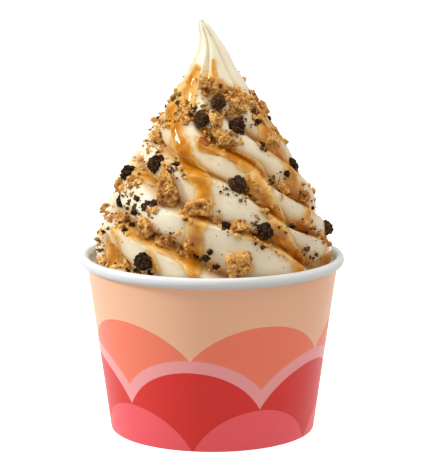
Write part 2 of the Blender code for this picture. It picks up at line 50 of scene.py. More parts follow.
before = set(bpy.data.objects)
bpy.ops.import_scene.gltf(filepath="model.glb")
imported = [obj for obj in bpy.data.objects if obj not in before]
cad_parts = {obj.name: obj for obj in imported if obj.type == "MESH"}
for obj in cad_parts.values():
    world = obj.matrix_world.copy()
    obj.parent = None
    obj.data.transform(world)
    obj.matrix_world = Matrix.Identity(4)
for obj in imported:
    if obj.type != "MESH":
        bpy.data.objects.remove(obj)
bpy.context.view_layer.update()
CUP_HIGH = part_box("cup_wall")[1]
PHOTO_WIDTH, PHOTO_HEIGHT = 426, 467

# The cup's board, as in the CAD.
FOOT_RADIUS = 37.6
SHOULDER_RADIUS = 46.1
SHOULDER_HEIGHT = 61.6
RIM_WIDTH = 3.1
RIM_HEIGHT = 3.9
BOARD = 0.6
SKIRT_THICKNESS = 2.2
SKIRT_HEIGHT = 5.3
MEAN_GIRTH = math.tau * (FOOT_RADIUS + SHOULDER_RADIUS) / 2.0

# The cup's side seam, the columns and rings of its meshes, its UV map and its print.
SEAM_ANGLE = 152.0
SEAM_WIDTH = 7.0
CUP_COLUMNS = 288
BASE_COLUMNS = 96
BASE_RINGS = 24
UP_THE_RIM = 1.02  # the UV map's height on the rim and, next, on the inside: both are bare above 1
UP_INSIDE = 1.5
SCALLOPS = 5  # arcs in a row of the print, round the whole cup
INK_EDGE = 0.18  # width of the blend between two inks, about the photo's sharpness

# The swirl, as in the CAD: a rope of seven uneven ridges round a leaning axis.
POOL_HEIGHT = 61.0
POOL_BOTTOM = 6.6
SWIRL_FOOT = 61.8
PEAK = 150.8
CREST_PROFILE = (  # height and radius of the ridges' crests
    (60.0, 44.2), (68.0, 43.2), (76.0, 41.2), (85.0, 38.2), (94.0, 33.8), (103.0, 28.6), (112.0, 22.8),
    (121.0, 16.8), (128.5, 12.1), (136.8, 7.2), (145.0, 3.5), (149.3, 2.1), (150.8, 1.1),
)
LEVELS = (62.0, 70.0, 76.0, 83.0, 90.0, 97.0, 104.0, 112.0, 120.0, 135.0, 150.8)
RIDGE_ANGLES = (
    (8, -31, -62, -88, -113, -139, -166, -196, -220, -246, -254),
    (57, 33, 6, -29, -47, -73, -106, -140, -164, -182, -190),
    (112, 77, 44, 27, 11, -28, -62, -97, -120, -136, -140),
    (150, 117, 92, 63, 39, 27, -3, -24, -50, -78, -82),
    (202, 168, 144, 117, 92, 67, 43, 12, -12, -24, -18),
    (262, 227, 202, 174, 148, 123, 100, 71, 49, 30, 4),
    (312, 278, 252, 222, 194, 169, 146, 119, 98, 78, 58),
)
RIDGES = len(RIDGE_ANGLES)
RIDGE_SECTION = (  # across one ridge: crisp lip, shelf, groove, then a full face up to the next crest
    (0.0, 1.0), (0.035, 0.80), (0.10, 0.36), (0.155, 0.08), (0.19, 0.0), (0.225, 0.10), (0.29, 0.36),
    (0.40, 0.62), (0.56, 0.82), (0.78, 0.95), (1.0, 1.0),
)
FINE_GRID = (110, 560)  # columns across a ridge and levels: at most about 0.6 mm between points
POOL_RINGS = (  # share of the way from the cup's wall to the swirl, and height
    (0.0, POOL_BOTTOM), (0.0, 30.0), (0.0, POOL_HEIGHT - 0.2), (0.5, POOL_HEIGHT - 0.15),
    (0.85, POOL_HEIGHT + 0.2),
)
SHELF_END = 0.30  # where the shelf that catches the crumbs turns into the face
GROOVE_SHARE = 0.15
GROOVE_LEAST = 0.4
USUAL_PITCH = 51.0
TILT = 5.0
PEAK_LEAN = 3.9
LEAN_START = 138.0
TILT_ROUNDS = 14  # steps that find the tilted level line through a point

# The photograph's view: what a pixel spans at the object, the aim's height and pixel, and the camera.
PIXEL = 0.3677
AIM_HEIGHT = 72.6
AIM_PIXEL = (212.4, 233.5)
CAMERA_DISTANCE = 850.0
CAMERA_ANGLE = 10.65
SENSOR_WIDTH = 36.0
FLOOR_REACH = 9000.0

# Lamps: place, what they are aimed at, and side, in metres.
LAMPS = {
    "key": ((-0.85, -0.06, 0.58), (0.0, 0.0, 0.085), 0.20),
    "front": ((-0.45, -0.85, 0.06), (0.0, 0.0, 0.03), 0.50),
    "side": ((0.90, -0.10, 0.45), (0.0, 0.0, 0.085), 0.90),
    "top": ((0.05, -0.15, 0.95), (0.0, 0.0, 0.085), 0.80),
}
WHITE = (1.0, 1.0, 1.0, 1.0)

# Caramel: its lie in millimetres, and the limits of the search for the nearest stream.
CARAMEL_THICKNESS = 0.45
CARAMEL_EDGE = 1.5  # how far inside its edge a stream reaches its full thickness
LEAST_INSIDE = -9.0  # stands for any place far from every stream
STREAM_MARGIN = 7.0  # points outside a stream's box by more than this aren't compared with it
TURNED_AWAY = 0.6  # a seen stream narrows by this for each millimetre behind the middle, to its end
TURNED_LIMIT = 5.0
POINTS_AT_ONCE = 4000
BRIDGING_ROUNDS = 16  # times that neighbours are averaged to bridge the grooves
STAIN_AND_SHADE_HEIGHTS = (112.0, 132.0)  # the painted shade in the grooves and the stain round the streams fade between these

# Each stream's extra darkness, then the pixels that its middle passes and its width there.
STREAMS_SEEN = (
    (-0.35, ((197, 68, 7), (192, 84, 15), (182, 100, 20), (174, 114, 18), (175, 126, 12))),
    (-0.30, ((206, 76, 8), (212, 84, 14), (224, 90, 12), (238, 96, 9), (246, 106, 5))),
    (-0.25, ((256, 112, 5), (263, 126, 12), (269, 140, 17), (274, 151, 8))),
    (-0.35, (
        (254, 168, 16), (260, 184, 18), (266, 200, 16), (275, 214, 14), (279, 230, 15), (292, 254, 16),
    )),
    (0.0, (
        (198, 69, 6), (194, 76, 9), (189, 85, 12), (184, 95, 14), (178, 105, 12), (176, 115, 13),
        (176.5, 125, 14), (177.5, 135, 13), (181, 145, 15), (185, 155, 18), (188, 165, 19),
        (193, 172, 17), (200, 178, 18), (203.5, 190, 18), (204, 200, 17), (203, 212, 17), (197, 222, 22),
        (195.5, 230, 20), (194.5, 240, 18), (193, 250, 18), (192, 260, 17), (193, 270, 13), (194, 276, 8),
    )),
    (0.0, ((213, 60, 4), (213.5, 70, 6), (215, 80, 9), (220, 88, 14), (226, 93, 14), (234, 92, 8))),
    (0.35, (
        (199, 140, 6), (202, 146, 10), (208, 149, 9), (214, 151, 8), (222, 152, 9), (231, 155, 11),
        (240, 160, 12),
    )),
    (0.1, (
        (236, 158, 10), (240, 160, 12), (248, 165, 15), (256, 171, 14), (261, 178, 13), (262, 186, 13),
        (264, 195, 13), (267, 204, 13), (272, 212, 13), (275, 220, 12), (277, 228, 12), (277, 236, 13),
        (281, 243, 13), (289, 250, 14), (296, 257, 15), (298, 264, 13), (299, 270, 9),
    )),
    (0.3, ((249, 176, 8), (250, 184, 9), (251, 193, 6))),
    (0.1, (
        (262, 122, 7), (266, 130, 13), (270, 140, 17), (275, 148, 13), (279, 153, 7), (284, 160, 4),
        (289, 167, 7), (291, 178, 12), (293, 188, 13), (299, 196, 10), (306, 203, 7), (309, 210, 6),
        (307, 217, 8),
    )),
    (0.5, ((299, 222, 6), (304, 226, 12), (312, 230, 8))),
    (0.3, ((329, 247, 6), (327, 255, 7), (325, 262, 9))),
    (0.1, (
        (126, 228, 8), (134, 234, 9), (143, 239, 9), (153, 244, 9), (163, 248, 9), (173, 252, 9),
        (182, 258, 11), (189, 263, 10),
    )),
    (0.1, ((113, 230, 4), (114.5, 240, 8), (113.5, 248, 11), (113, 255, 13), (113, 262, 12))),
    (0.1, ((136, 171, 5), (144, 176, 8), (154, 181, 8))),
    (0.0, ((149, 253, 4), (153, 262, 7), (157, 271, 5))),
    (1.2, ((201, 140, 7), (203.5, 143, 11), (206, 146, 9))),
    (0.6, ((204, 132, 7), (213, 138, 8), (222, 143, 6), (232, 149, 4))),
    (0.6, ((169, 127, 5), (175, 124, 8), (183, 121, 5))),
    (0.2, ((243, 233, 4), (254, 238, 6), (264, 243, 7), (272, 247, 5))),
    (0.3, ((187, 214, 5), (196, 217, 7), (206, 213, 6))),
    (0.0, ((205, 92, 7), (214, 93, 9), (224, 97, 8))),
)
# The unseen side's streams: width in millimetres, angle at the top, and the heights they run from and to.
BACK_STREAMS = ((7.0, 118.0, 126.0, 92.0), (7.4, 160.0, 122.0, 72.0), (6.6, 206.0, 118.0, 84.0))
BACK_DARKNESS = 0.1
BACK_SWAY = 9.0
BACK_WAVE = 7.0
BACK_DRIFT = 0.35
SEEN_SPACING = 0.25  # between steps along a seen stream, and along one at the back
BACK_SPACING = 0.5

# Small bits of biscuit and cookie that the CAD fuses to the cream: angle, height, size, tallness.
SMALL_BITS = {
    "biscuit": (
        (3, 83.7, 3.6, 1.0), (12, 110.7, 4.7, 1.0), (-10, 128.6, 5.0, 0.9), (88, 95.5, 4.2, 1.0),
        (-88, 82.4, 4.0, 1.2), (-35, 119.2, 4.4, 1.0), (56, 92.2, 3.8, 1.0), (86, 71.6, 4.6, 0.9),
        (60, 109.5, 5.2, 1.0), (90, 124.0, 4.0, 1.4), (-79, 91.7, 4.8, 1.1), (71, 88.1, 4.4, 0.9),
        (-66, 80.8, 4.2, 0.9),
    ),
    "cookie": (
        (-81, 85.6, 4.2, 1.1), (88, 75.2, 4.8, 1.1), (84, 99.0, 4.0, 1.4),
    ),
}
PIECE_LIFT = 0.30  # share of its half size by which a small piece's middle stands out of the cream
PIECE_DEPTH = 0.88
PIECE_SCALE = 1.06
PIECE_OVERHANG = 6  # pixels that a piece's middle may lie outside the swirl's outline

# Smaller pieces by pixel: place, size in millimetres.
LARGE_CRUMBS_SEEN = {
    "cookie": (
        (224, 224, 3.3), (154.5, 202, 2.9), (286.5, 173.5, 2.8), (205, 257.5, 3.0), (196, 255, 2.5),
        (216.5, 266, 2.6), (209, 253, 2.0), (253.5, 110, 2.4), (257, 121, 2.4), (292.5, 226.5, 1.9),
        (134, 212, 2.6), (132.5, 224, 2.4), (125, 230, 2.5), (103, 232, 1.8), (176, 164, 2.5),
        (143.5, 206, 2.2), (148, 202, 1.9), (137, 198, 2.0), (127, 208, 1.6), (194.5, 107, 2.0),
        (270, 115, 2.0), (158, 117, 1.8), (137, 270, 2.2), (150, 272, 2.3), (312, 208, 1.7),
        (261, 144, 2.2), (168, 172, 2.0), (124, 217, 1.7), (120, 222, 1.5), (281, 191, 1.6),
        (305, 231, 1.8),
    ),
    "biscuit": (
        (226, 140, 4.2), (219, 133, 3.0), (233, 143, 2.8), (213, 130, 2.4), (207, 84, 3.0),
        (213, 89, 2.6), (256, 201, 3.3), (276, 207, 1.7), (178, 92, 2.4), (173, 97, 2.2), (183, 116, 2.8),
        (190, 110, 2.2), (186, 122, 2.2), (163, 121, 2.2), (243, 99, 3.0), (232, 112, 2.6),
        (239, 112, 2.4), (247, 97, 2.2), (140, 160, 2.2), (121, 180, 2.8), (131, 186, 2.6),
        (136, 177, 2.2), (117, 190, 2.2), (108, 219, 2.6), (119, 216, 2.4), (107, 262, 2.2),
        (103, 256, 1.8), (187, 246, 2.0), (168, 236, 2.2), (244, 231, 2.6), (305, 193, 2.6),
        (254, 239, 2.0), (302, 183, 2.0), (272, 128, 2.2), (288, 137, 2.8), (279, 129, 2.8),
    ),
}

# Where the crumbs gather: pixel, spread in pixels, biscuit crumbs, cookie crumbs.
CRUMBS_SEEN = (
    (176, 92, 4, 4, 5), (172, 101, 6, 3, 6), (184, 108, 5, 9, 8), (178, 119, 5, 9, 8),
    (164, 120, 5, 8, 7), (158, 123, 4, 6, 2), (190, 106, 4, 6, 5), (189, 114, 5, 8, 8),
    (205, 84, 6, 12, 6), (212, 90, 6, 10, 6), (222, 94, 6, 6, 4), (230, 92, 5, 6, 2), (206, 107, 4, 3, 7),
    (216, 112, 4, 5, 6), (226, 113, 5, 8, 5), (236, 99, 5, 14, 1), (242, 97, 4, 10, 1),
    (233, 110, 6, 11, 5), (241, 107, 4, 8, 1), (212, 131, 6, 12, 8), (222, 136, 6, 14, 6),
    (229, 144, 5, 12, 3), (236, 139, 5, 8, 2), (214, 140, 5, 8, 6), (250, 98, 5, 12, 3),
    (253, 105, 4, 8, 5), (256, 114, 5, 8, 8), (263, 118, 5, 6, 6), (268, 112, 4, 8, 3),
    (247, 118, 5, 2, 6), (272, 146, 5, 6, 3), (262, 146, 4, 3, 4), (279, 129, 4, 8, 2),
    (286, 138, 4, 8, 1), (153, 133, 5, 10, 2), (152, 146, 4, 6, 6), (141, 160, 4, 8, 2),
    (148, 168, 5, 8, 5), (160, 152, 5, 10, 3), (168, 163, 5, 5, 6), (177, 165, 5, 3, 9),
    (171, 172, 5, 5, 9), (166, 177, 4, 5, 5), (184, 172, 6, 3, 6), (119, 183, 5, 14, 2),
    (131, 184, 5, 12, 2), (124, 190, 4, 6, 1), (137, 180, 4, 8, 1), (113, 188, 3, 6, 1),
    (128, 195, 5, 1, 5), (137, 198, 4, 1, 5), (147, 204, 5, 1, 14), (134, 211, 5, 1, 12),
    (127, 208, 4, 1, 6), (108, 213, 4, 8, 2), (116, 218, 5, 14, 4), (123, 223, 5, 10, 8),
    (127, 229, 5, 4, 6), (136, 222, 4, 2, 4), (151, 212, 4, 8, 2), (153, 232, 5, 8, 1),
    (158, 240, 4, 5, 2), (174, 236, 4, 1, 6), (101, 240, 4, 3, 4), (100, 232, 4, 2, 4),
    (101, 251, 5, 4, 5), (107, 262, 4, 8, 1), (103, 257, 4, 6, 3), (123, 266, 5, 6, 8),
    (132, 271, 5, 4, 8), (147, 272, 5, 4, 8), (186, 247, 4, 6, 4), (181, 252, 5, 5, 7),
    (190, 243, 3, 3, 3), (199, 255, 5, 2, 9), (205, 262, 4, 3, 6), (215, 268, 4, 4, 4),
    (209, 250, 3, 1, 5), (186, 215, 5, 8, 5), (193, 217, 4, 5, 5), (228, 184, 4, 2, 6),
    (222, 190, 3, 1, 5), (243, 192, 5, 2, 12), (248, 196, 4, 2, 7), (230, 193, 4, 1, 5),
    (256, 190, 4, 4, 4), (259, 194, 4, 6, 2), (266, 209, 4, 2, 6), (276, 206, 3, 3, 2),
    (243, 227, 5, 10, 4), (236, 231, 4, 6, 3), (222, 228, 4, 3, 5), (217, 214, 4, 2, 5),
    (254, 226, 4, 1, 7), (256, 222, 3, 1, 6), (255, 235, 4, 4, 5), (262, 242, 5, 2, 9),
    (272, 247, 4, 3, 4), (279, 185, 4, 2, 6), (284, 191, 4, 5, 4), (275, 180, 5, 0, 9),
    (271, 184, 4, 0, 7), (300, 187, 4, 4, 2), (305, 195, 5, 12, 2), (297, 196, 4, 5, 3),
    (281, 226, 4, 1, 6), (293, 226, 3, 1, 3), (305, 228, 5, 3, 7), (312, 230, 4, 2, 6),
    (318, 235, 4, 5, 4), (330, 241, 4, 8, 1), (323, 238, 4, 6, 1), (313, 258, 6, 0, 13),
    (305, 252, 3, 1, 4), (283, 250, 3, 2, 4), (230, 262, 5, 5, 2),
)
CRUMBS_A_CRUMB = {"biscuit": 1.9, "cookie": 1.3}  # drawn for each one counted: many are too fine to count
BACK_CLUSTERS = 60  # the unseen side carries the same mix at seeded places
BACK_ANGLES = (105.0, 255.0)
BACK_HEIGHTS = (66.0, 128.0)
BACK_CRUMBS = (3, 12)  # at least the first and fewer than the second in a cluster
BACK_SPREAD = 2.2
CRUMB_CEILING = 132.0
CRUMB_SIZES = {"biscuit": (0.5, 2.3), "cookie": (0.35, 1.7)}
CRUMB_SHAPES = 12
CRUMB_DETAIL = (4, 6)  # rings and columns of a crumb, and of a speck of dust
DUST_DETAIL = (3, 5)
DUST_SPREAD = 7.0
DUST_HEIGHTS = (63.0, 131.0)
CRUMB_LIFT = 0.22  # share of its size by which a crumb's middle stands out of the cream
LARGE_CRUMB_SCALE = 0.85
LARGE_CRUMB_TALLNESS = 0.85

# Shapes and shades of the chunks and lumps.
LUMP_COLUMNS = 24.0  # round a lump, for each millimetre of its half size, within these limits
LUMP_COLUMN_LIMITS = (40, 160)
BLOCK_FACES = 8  # of a biscuit chunk, beside its six sides
BLOCK_POWER = 10
# Relief sets a crumb's colour: low relief is painted shade in pits and cracks, high relief painted highlight
# on raised grains.
RELIEF_SHADES = {"biscuit": (0.48, 1.1), "cookie": (0.16, 0.8)}  # shade at no relief, and its rise in a mm
TOPPING_SLOTS = {"biscuit": "biscuit", "cookie": "chocolate_cookie"}

# Where the seeded draws start.
CHUNK_SEED = 60
BIT_SEED = 100
LARGE_CRUMB_SEED = 200
TONE_SEED = 500
SCATTER_SEED = 23


def linear_colour(code):
    """An sRGB hex code as linear red, green, blue and an alpha of 1."""
    parts = [int(code[i : i + 2], 16) / 255.0 for i in (1, 3, 5)]
    return (*(part / 12.92 if part <= 0.04045 else ((part + 0.055) / 1.055) ** 2.4 for part in parts), 1.0)


def colour(name, code, description):
    """A colour setting, from an sRGB hex code."""
    return FloatVectorProperty(
        name=name,
        description=description,
        subtype="COLOR",
        size=4,
        min=0.0,
        max=1.0,
        default=linear_colour(code),
    )


def measure(name, unit, default, description):
    """A setting that never goes below zero, of this kind of unit."""
    return FloatProperty(name=name, description=description, unit=unit, min=0.0, default=default)


class CupSettings(bpy.types.PropertyGroup):
    """Sizes and colours of the paper cup."""

    rim_radius: measure("Rim radius", "LENGTH", CUP_HIGH[0], "Outside of the rolled rim")
    height: measure("Height", "LENGTH", CUP_HIGH[2], "From the foot to the top of the rolled rim")
    seam_step: measure("Seam step", "LENGTH", 0.45 * MM, "How far the side seam's edge stands proud")
    paper: colour("Paper", "#E2E2E1", "Bare paperboard of the rim, the inside and the base")
    peach: colour("Peach", "#FFC199", "Ink above the scallops")
    coral: colour("Coral", "#FF7F60", "Ink of the top row of scallops")
    pink: colour("Pink", "#FFA5A4", "Ink of the border round the middle row of scallops")
    red: colour("Red", "#E22015", "Ink of the middle row of scallops")
    rose: colour("Rose", "#FF5A62", "Ink of the lowest row of scallops")


class CreamSettings(bpy.types.PropertyGroup):
    """Looks of the soft serve."""

    colour: colour("Cream", "#F4EBD0", "Vanilla soft serve")
    # Besides the caramel stain, this colour paints shade into the cream's grooves.
    tint: colour("Tint", "#CF9F58", "Cream with a little caramel melted into it")
    rows: IntProperty(name="Rows", description="Level lines from the pool to the peak", default=480, min=40)
    columns: IntProperty(name="Columns", description="Columns across each ridge", default=48, min=8)


class CaramelSettings(bpy.types.PropertyGroup):
    """Looks of the caramel."""

    thin: colour("Thin", "#F2C676", "Caramel where it thins out over the cream")
    middle: colour("Middle", "#CC831C", "Caramel of usual depth")
    thick: colour("Thick", "#9C4E0A", "Caramel where it is deepest")
    thickness: measure("Thickness", "LENGTH", CARAMEL_THICKNESS * MM, "Of the middle of a stream")


class ToppingSettings(bpy.types.PropertyGroup):
    """Looks and number of the biscuit and cookie pieces."""

    # The relief mixes each pair: the darker colour also serves as painted shade in pits and cracks, the
    # paler one as painted highlight on raised grains.
    biscuit: colour("Biscuit", "#EFB765", "Baked biscuit crumb")
    biscuit_dark: colour("Biscuit pores", "#874612", "Pores, cracks and baked edges of the biscuit")
    cookie: colour("Cookie", "#1B0E07", "Chocolate cookie")
    cookie_light: colour("Cookie grains", "#75522F", "Grains that catch the light on the cookie")
    dust: IntProperty(name="Dust", description="Specks of cookie dust on the cream", default=1300, min=0)


class StageSettings(bpy.types.PropertyGroup):
    """Floor, light and camera."""

    floor: colour("Floor", "#FBFBFB", "Pale studio floor")
    camera_distance: measure("Camera distance", "LENGTH", CAMERA_DISTANCE * MM, "From the object's middle")
    camera_angle: measure("Camera angle", "ROTATION", math.radians(CAMERA_ANGLE), "Above the horizon")
    floor_glow: measure("Floor glow", "NONE", 0.80, "Strength of the light that the floor gives off")
    room: colour("Room", "#FFFBF6", "Light from all around")
    room_light: measure("Room light", "NONE", 0.36, "Strength of the light from all around")
    key_power: measure("Key light", "POWER", 6.8, "Power of the lamp at the upper left")
    key_shade: colour("Key shade", "#EFFAFF", "A little cooler than the room")
    front_power: measure("Front light", "POWER", 2.1, "Power of the low lamp in front")
    side_power: measure("Side light", "POWER", 2.7, "Power of the lamp on the right")
    top_power: measure("Top light", "POWER", 5.2, "Power of the lamp overhead")


class CupScene(bpy.types.PropertyGroup):
    """Every setting of the object and its stage."""

    cup: PointerProperty(type=CupSettings)
    cream: PointerProperty(type=CreamSettings)
    caramel: PointerProperty(type=CaramelSettings)
    toppings: PointerProperty(type=ToppingSettings)
    stage: PointerProperty(type=StageSettings)


# Curves and noise.


def rise(value, start, end):
    """0 before start, 1 after end, and the S curve 3t^2 - 2t^3 between them."""
    share = np.clip((value - start) / (end - start), 0.0, 1.0)
    return share * share * (3.0 - 2.0 * share)


def curve_through(xs, ys, x):
    """A monotone cubic through the points (xs, ys) at x: Hermite pieces whose slope at each point is the
    weighted harmonic mean of the slopes on its two sides, or 0 where those differ in sign."""
    xs = np.asarray(xs, float)
    ys = np.asarray(ys, float)
    step = np.diff(xs)
    slope = np.diff(ys) / step
    before = 2.0 * step[1:] + step[:-1]
    after = step[1:] + 2.0 * step[:-1]
    with np.errstate(divide="ignore", invalid="ignore"):
        mean = (before + after) / (before / slope[:-1] + after / slope[1:])
    mean = np.where(slope[:-1] * slope[1:] > 0.0, mean, 0.0)
    tangent = np.concatenate([slope[:1], mean, slope[-1:]])
    at = np.clip(np.searchsorted(xs, x, side="right") - 1, 0, len(xs) - 2)
    t = np.clip((x - xs[at]) / step[at], 0.0, 1.0)
    return (
        (2.0 * t**3 - 3.0 * t**2 + 1.0) * ys[at]
        + (t**3 - 2.0 * t**2 + t) * step[at] * tangent[at]
        + (3.0 * t**2 - 2.0 * t**3) * ys[at + 1]
        + (t**3 - t**2) * step[at] * tangent[at + 1]
    )


def scrambled(cells, seed):
    """A number from 0 to 1 for each cell of a whole-number lattice, the same on every run: a spatial hash
    of products with large primes."""
    cells = cells.astype(np.int64)
    mixed = cells[..., 0] * 73856093 ^ cells[..., 1] * 19349663 ^ cells[..., 2] * 83492791
    mixed = (mixed ^ seed * 2971215073) & 0xFFFFFFFF
    for factor in (0x2C1B3C6D, 0x297A2D39):
        mixed = ((mixed ^ (mixed >> 15)) * factor) & 0xFFFFFFFF
    return (mixed ^ (mixed >> 15)) / 0xFFFFFFFF


def corner_offsets(low, high):
    """Every whole-number offset from low to high along three axes."""
    span = np.arange(low, high + 1)
    return np.stack(np.meshgrid(span, span, span, indexing="ij"), axis=-1).reshape(-1, 3)


def noise(points, grain, seed):
    """Smooth noise from -1 to 1 with hills about grain apart: lattice values blended by S curves."""
    scaled = np.asarray(points) / grain
    low = np.floor(scaled)
    blend = rise(scaled - low, 0.0, 1.0)
    total = np.zeros(scaled.shape[:-1])
    for offset in corner_offsets(0, 1):
        weight = np.prod(np.where(offset == 1, blend, 1.0 - blend), axis=-1)
        total += weight * scrambled(low + offset, seed)
    return 2.0 * total - 1.0


def grains(points, grain, seed):
    """Packed grains about this size: 1 in a grain's middle, falling to 0 where grains meet. One point lies
    at a scrambled place in every lattice cell, and the nearest one's distance gives the height."""
    scaled = np.asarray(points) / grain
    low = np.floor(scaled)
    nearest = np.full(scaled.shape[:-1], 9.0)
    for offset in corner_offsets(-1, 1):
        cell = low + offset
        place = cell + np.stack([scrambled(cell, seed + axis) for axis in range(3)], axis=-1)
        nearest = np.minimum(nearest, np.sum((scaled - place) ** 2, axis=-1))
    return 1.0 - np.clip(nearest, 0.0, 1.0)


# The swirl's surface.


def tilt_at(level):
    """How far a level line rises in front and falls behind: TILT midway, and none at foot and peak."""
    return TILT * rise(level, SWIRL_FOOT, SWIRL_FOOT + 12.0) * (1.0 - rise(level, 106.0, 138.0))


def lean_at(height):
    """How far the axis has moved along X, as a power of the height above LEAN_START."""
    return -PEAK_LEAN * (np.clip(height - LEAN_START, 0.0, None) / (PEAK - LEAN_START)) ** 1.8


def at_cylinder(radius, turn, height):
    """Points at these radii and turns (in radians) round the swirl's leaning axis."""
    radius, turn, height = np.broadcast_arrays(radius, turn, height)
    return np.stack([radius * np.sin(turn) + lean_at(height), -radius * np.cos(turn), height], axis=-1)


def crest_angles(level):
    """The angle of every ridge's crest at a level, and of the first again after a full turn."""
    angles = np.array([curve_through(LEVELS, row, level) for row in RIDGE_ANGLES])
    return np.concatenate([angles, angles[:1] + 360.0])


def ridged_radius(height, across, pitch):
    """The crest's radius less the groove, where across runs from one crest (0) to the next (1)."""
    crest = curve_through(*zip(*CREST_PROFILE), height)
    depth = (GROOVE_SHARE * crest + GROOVE_LEAST) * np.sqrt(pitch / USUAL_PITCH)
    depth = depth * (0.4 + 0.6 * rise(height, SWIRL_FOOT - 2.0, SWIRL_FOOT + 3.0))
    return crest - depth * (1.0 - curve_through(*zip(*RIDGE_SECTION), across))


def ridge_place(angle, height):
    """The level line that any angle and height lie on, the place across the ridge, its pitch and number."""
    angle, height = np.broadcast_arrays(np.asarray(angle, float), np.asarray(height, float))
    level = height
    for _ in range(TILT_ROUNDS):
        level = height - tilt_at(level) * np.cos(np.radians(angle))
    crests = crest_angles(level)
    turned = np.mod(angle - crests[0], 360.0) + crests[0]
    at = np.clip(np.sum(turned >= crests[1:], axis=0), 0, RIDGES - 1)
    first, second = (np.take_along_axis(crests, at[None] + step, axis=0)[0] for step in (0, 1))
    return level, np.clip((turned - first) / (second - first), 0.0, 1.0), second - first, at


def uneven_radius(radius, turn, height, across, ridge):
    """The radius with slow hills, fine lines drawn along the ridges by the nozzle, and nicks in the lips."""
    plain = at_cylinder(radius, turn, height)
    hills = 0.40 * noise(plain, 11.0, 1) + 0.16 * noise(plain, 4.5, 2)
    drawn = 0.012 * np.sin((across + ridge) * 61.0 + 1.2 * noise(plain, 14.0, 3))
    lip = np.exp(-((np.minimum(across, 1.0 - across) / 0.05) ** 2))
    nicks = lip * (0.34 * noise(plain, 2.6, 4) + 0.18 * noise(plain, 1.2, 5))
    return radius + np.clip(radius / 20.0, 0.15, 1.0) * (hills + drawn + nicks)


def cream_radius(angle, height):
    """The swirl's radius at any angle and height below its peak."""
    _, across, pitch, ridge = ridge_place(angle, height)
    radius = ridged_radius(np.asarray(height, float), across, pitch)
    return uneven_radius(radius, np.radians(angle), height, across, ridge)


def mean_radius(angle, height, reach):
    """The swirl's radius averaged over a patch of this reach."""
    steps = np.linspace(-1.0, 1.0, 5) * reach
    turn = np.degrees(steps / np.maximum(cream_radius(angle, height)[..., None], 2.0))
    angles = np.asarray(angle, float)[..., None, None] + turn[..., None, :]
    heights = np.clip(np.asarray(height, float)[..., None, None] + steps[:, None], SWIRL_FOOT, PEAK - 2.0)
    return cream_radius(angles, heights).mean(axis=(-1, -2))


def outward(turn, height):
    """The outward direction of the swirl's overall cone, without its ridges."""
    below, above = (curve_through(*zip(*CREST_PROFILE), height + offset) for offset in (-3.0, 3.0))
    turn, slope = np.broadcast_arrays(turn, (below - above) / 6.0)
    direction = np.stack([np.sin(turn), -np.cos(turn), slope], axis=-1)
    return direction / np.linalg.norm(direction, axis=-1, keepdims=True)


def local_axes(angle, height):
    """Along the cream, up the cream, and outward, as rows."""
    turn = np.radians(angle)
    out = outward(turn, height)
    along = np.stack([np.cos(turn), np.sin(turn), 0.0 * turn], axis=-1)
    return np.stack([along, np.cross(out, along), out], axis=-2)


# Meshes.


def grid_triangles(rows, columns, closed=False):
    """Two triangles for each square of a grid whose columns close round, and whose rows may."""
    row, column = np.meshgrid(np.arange(rows if closed else rows - 1), np.arange(columns), indexing="ij")
    next_row, next_column = (row + 1) % rows, (column + 1) % columns
    corners = [row * columns + column, row * columns + next_column]
    corners += [next_row * columns + next_column, next_row * columns + column]
    squares = np.stack(corners, axis=-1).reshape(-1, 4)
    return np.concatenate([squares[:, [0, 1, 2]], squares[:, [0, 2, 3]]])


def facing_out(points, triangles):
    """Turns the triangles of a closed skin round if the volume that they enclose comes out negative."""
    volume = np.linalg.det(points[triangles]).sum()
    return triangles[:, ::-1] if volume < 0.0 else triangles


def closed_skin(rings):
    """Rings of points, (rings, round, 3), joined into one skin, each end closed on its own middle."""
    rows, columns = rings.shape[:2]
    points = np.concatenate([rings.reshape(-1, 3), rings[:1].mean(axis=1), rings[-1:].mean(axis=1)])
    first, last = len(points) - 2, len(points) - 1
    near = np.arange(columns)
    following = (near + 1) % columns
    far = (rows - 1) * columns
    ends = [
        np.stack([np.full(columns, first), following, near], axis=-1),
        np.stack([np.full(columns, last), far + near, far + following], axis=-1),
    ]
    triangles = np.concatenate([grid_triangles(rows, columns), *ends])
    return points, facing_out(points, triangles)


def ball_directions(rings, columns):
    """Unit vectors on rings from pole to pole; half a step of latitude is left at each pole."""
    latitude = (np.arange(rings) + 0.5) / rings * math.pi
    turn = np.arange(columns) / columns * math.tau
    latitude, turn = np.meshgrid(latitude, turn, indexing="ij")
    side = np.sin(latitude)
    return np.stack([side * np.cos(turn), side * np.sin(turn), np.cos(latitude)], axis=-1)


def make_mesh(name, points, triangles, attributes=None, uv=None):
    """A smooth mesh in metres from millimetre points, with point attributes and a UV for each corner."""
    mesh = bpy.data.meshes.new(name)
    mesh.vertices.add(len(points))
    mesh.vertices.foreach_set("co", (np.asarray(points) * MM).ravel())
    mesh.loops.add(triangles.size)
    mesh.loops.foreach_set("vertex_index", triangles.ravel().astype(np.int32))
    mesh.polygons.add(len(triangles))
    mesh.polygons.foreach_set("loop_start", np.arange(0, triangles.size, 3, dtype=np.int32))
    mesh.update(calc_edges=True)
    for attribute, values in (attributes or {}).items():
        layer = mesh.attributes.new(attribute, "FLOAT", "POINT")
        layer.data.foreach_set("value", np.asarray(values, np.float32).ravel())
    if uv is not None:
        mesh.uv_layers.new(name="UVMap").data.foreach_set("uv", uv.astype(np.float32).ravel())
    mesh.shade_smooth()
    return mesh


def show(name, mesh, material, slot, nodes=()):
    """Puts a finished piece in the scene, on the part's one body, in place of these CAD nodes."""
    piece = bpy.data.objects.new(name, mesh)
    bpy.context.scene.collection.objects.link(piece)
    mesh.materials.append(material)
    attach(piece, "root")
    if nodes:
        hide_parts(*nodes)
    return piece


# Materials.


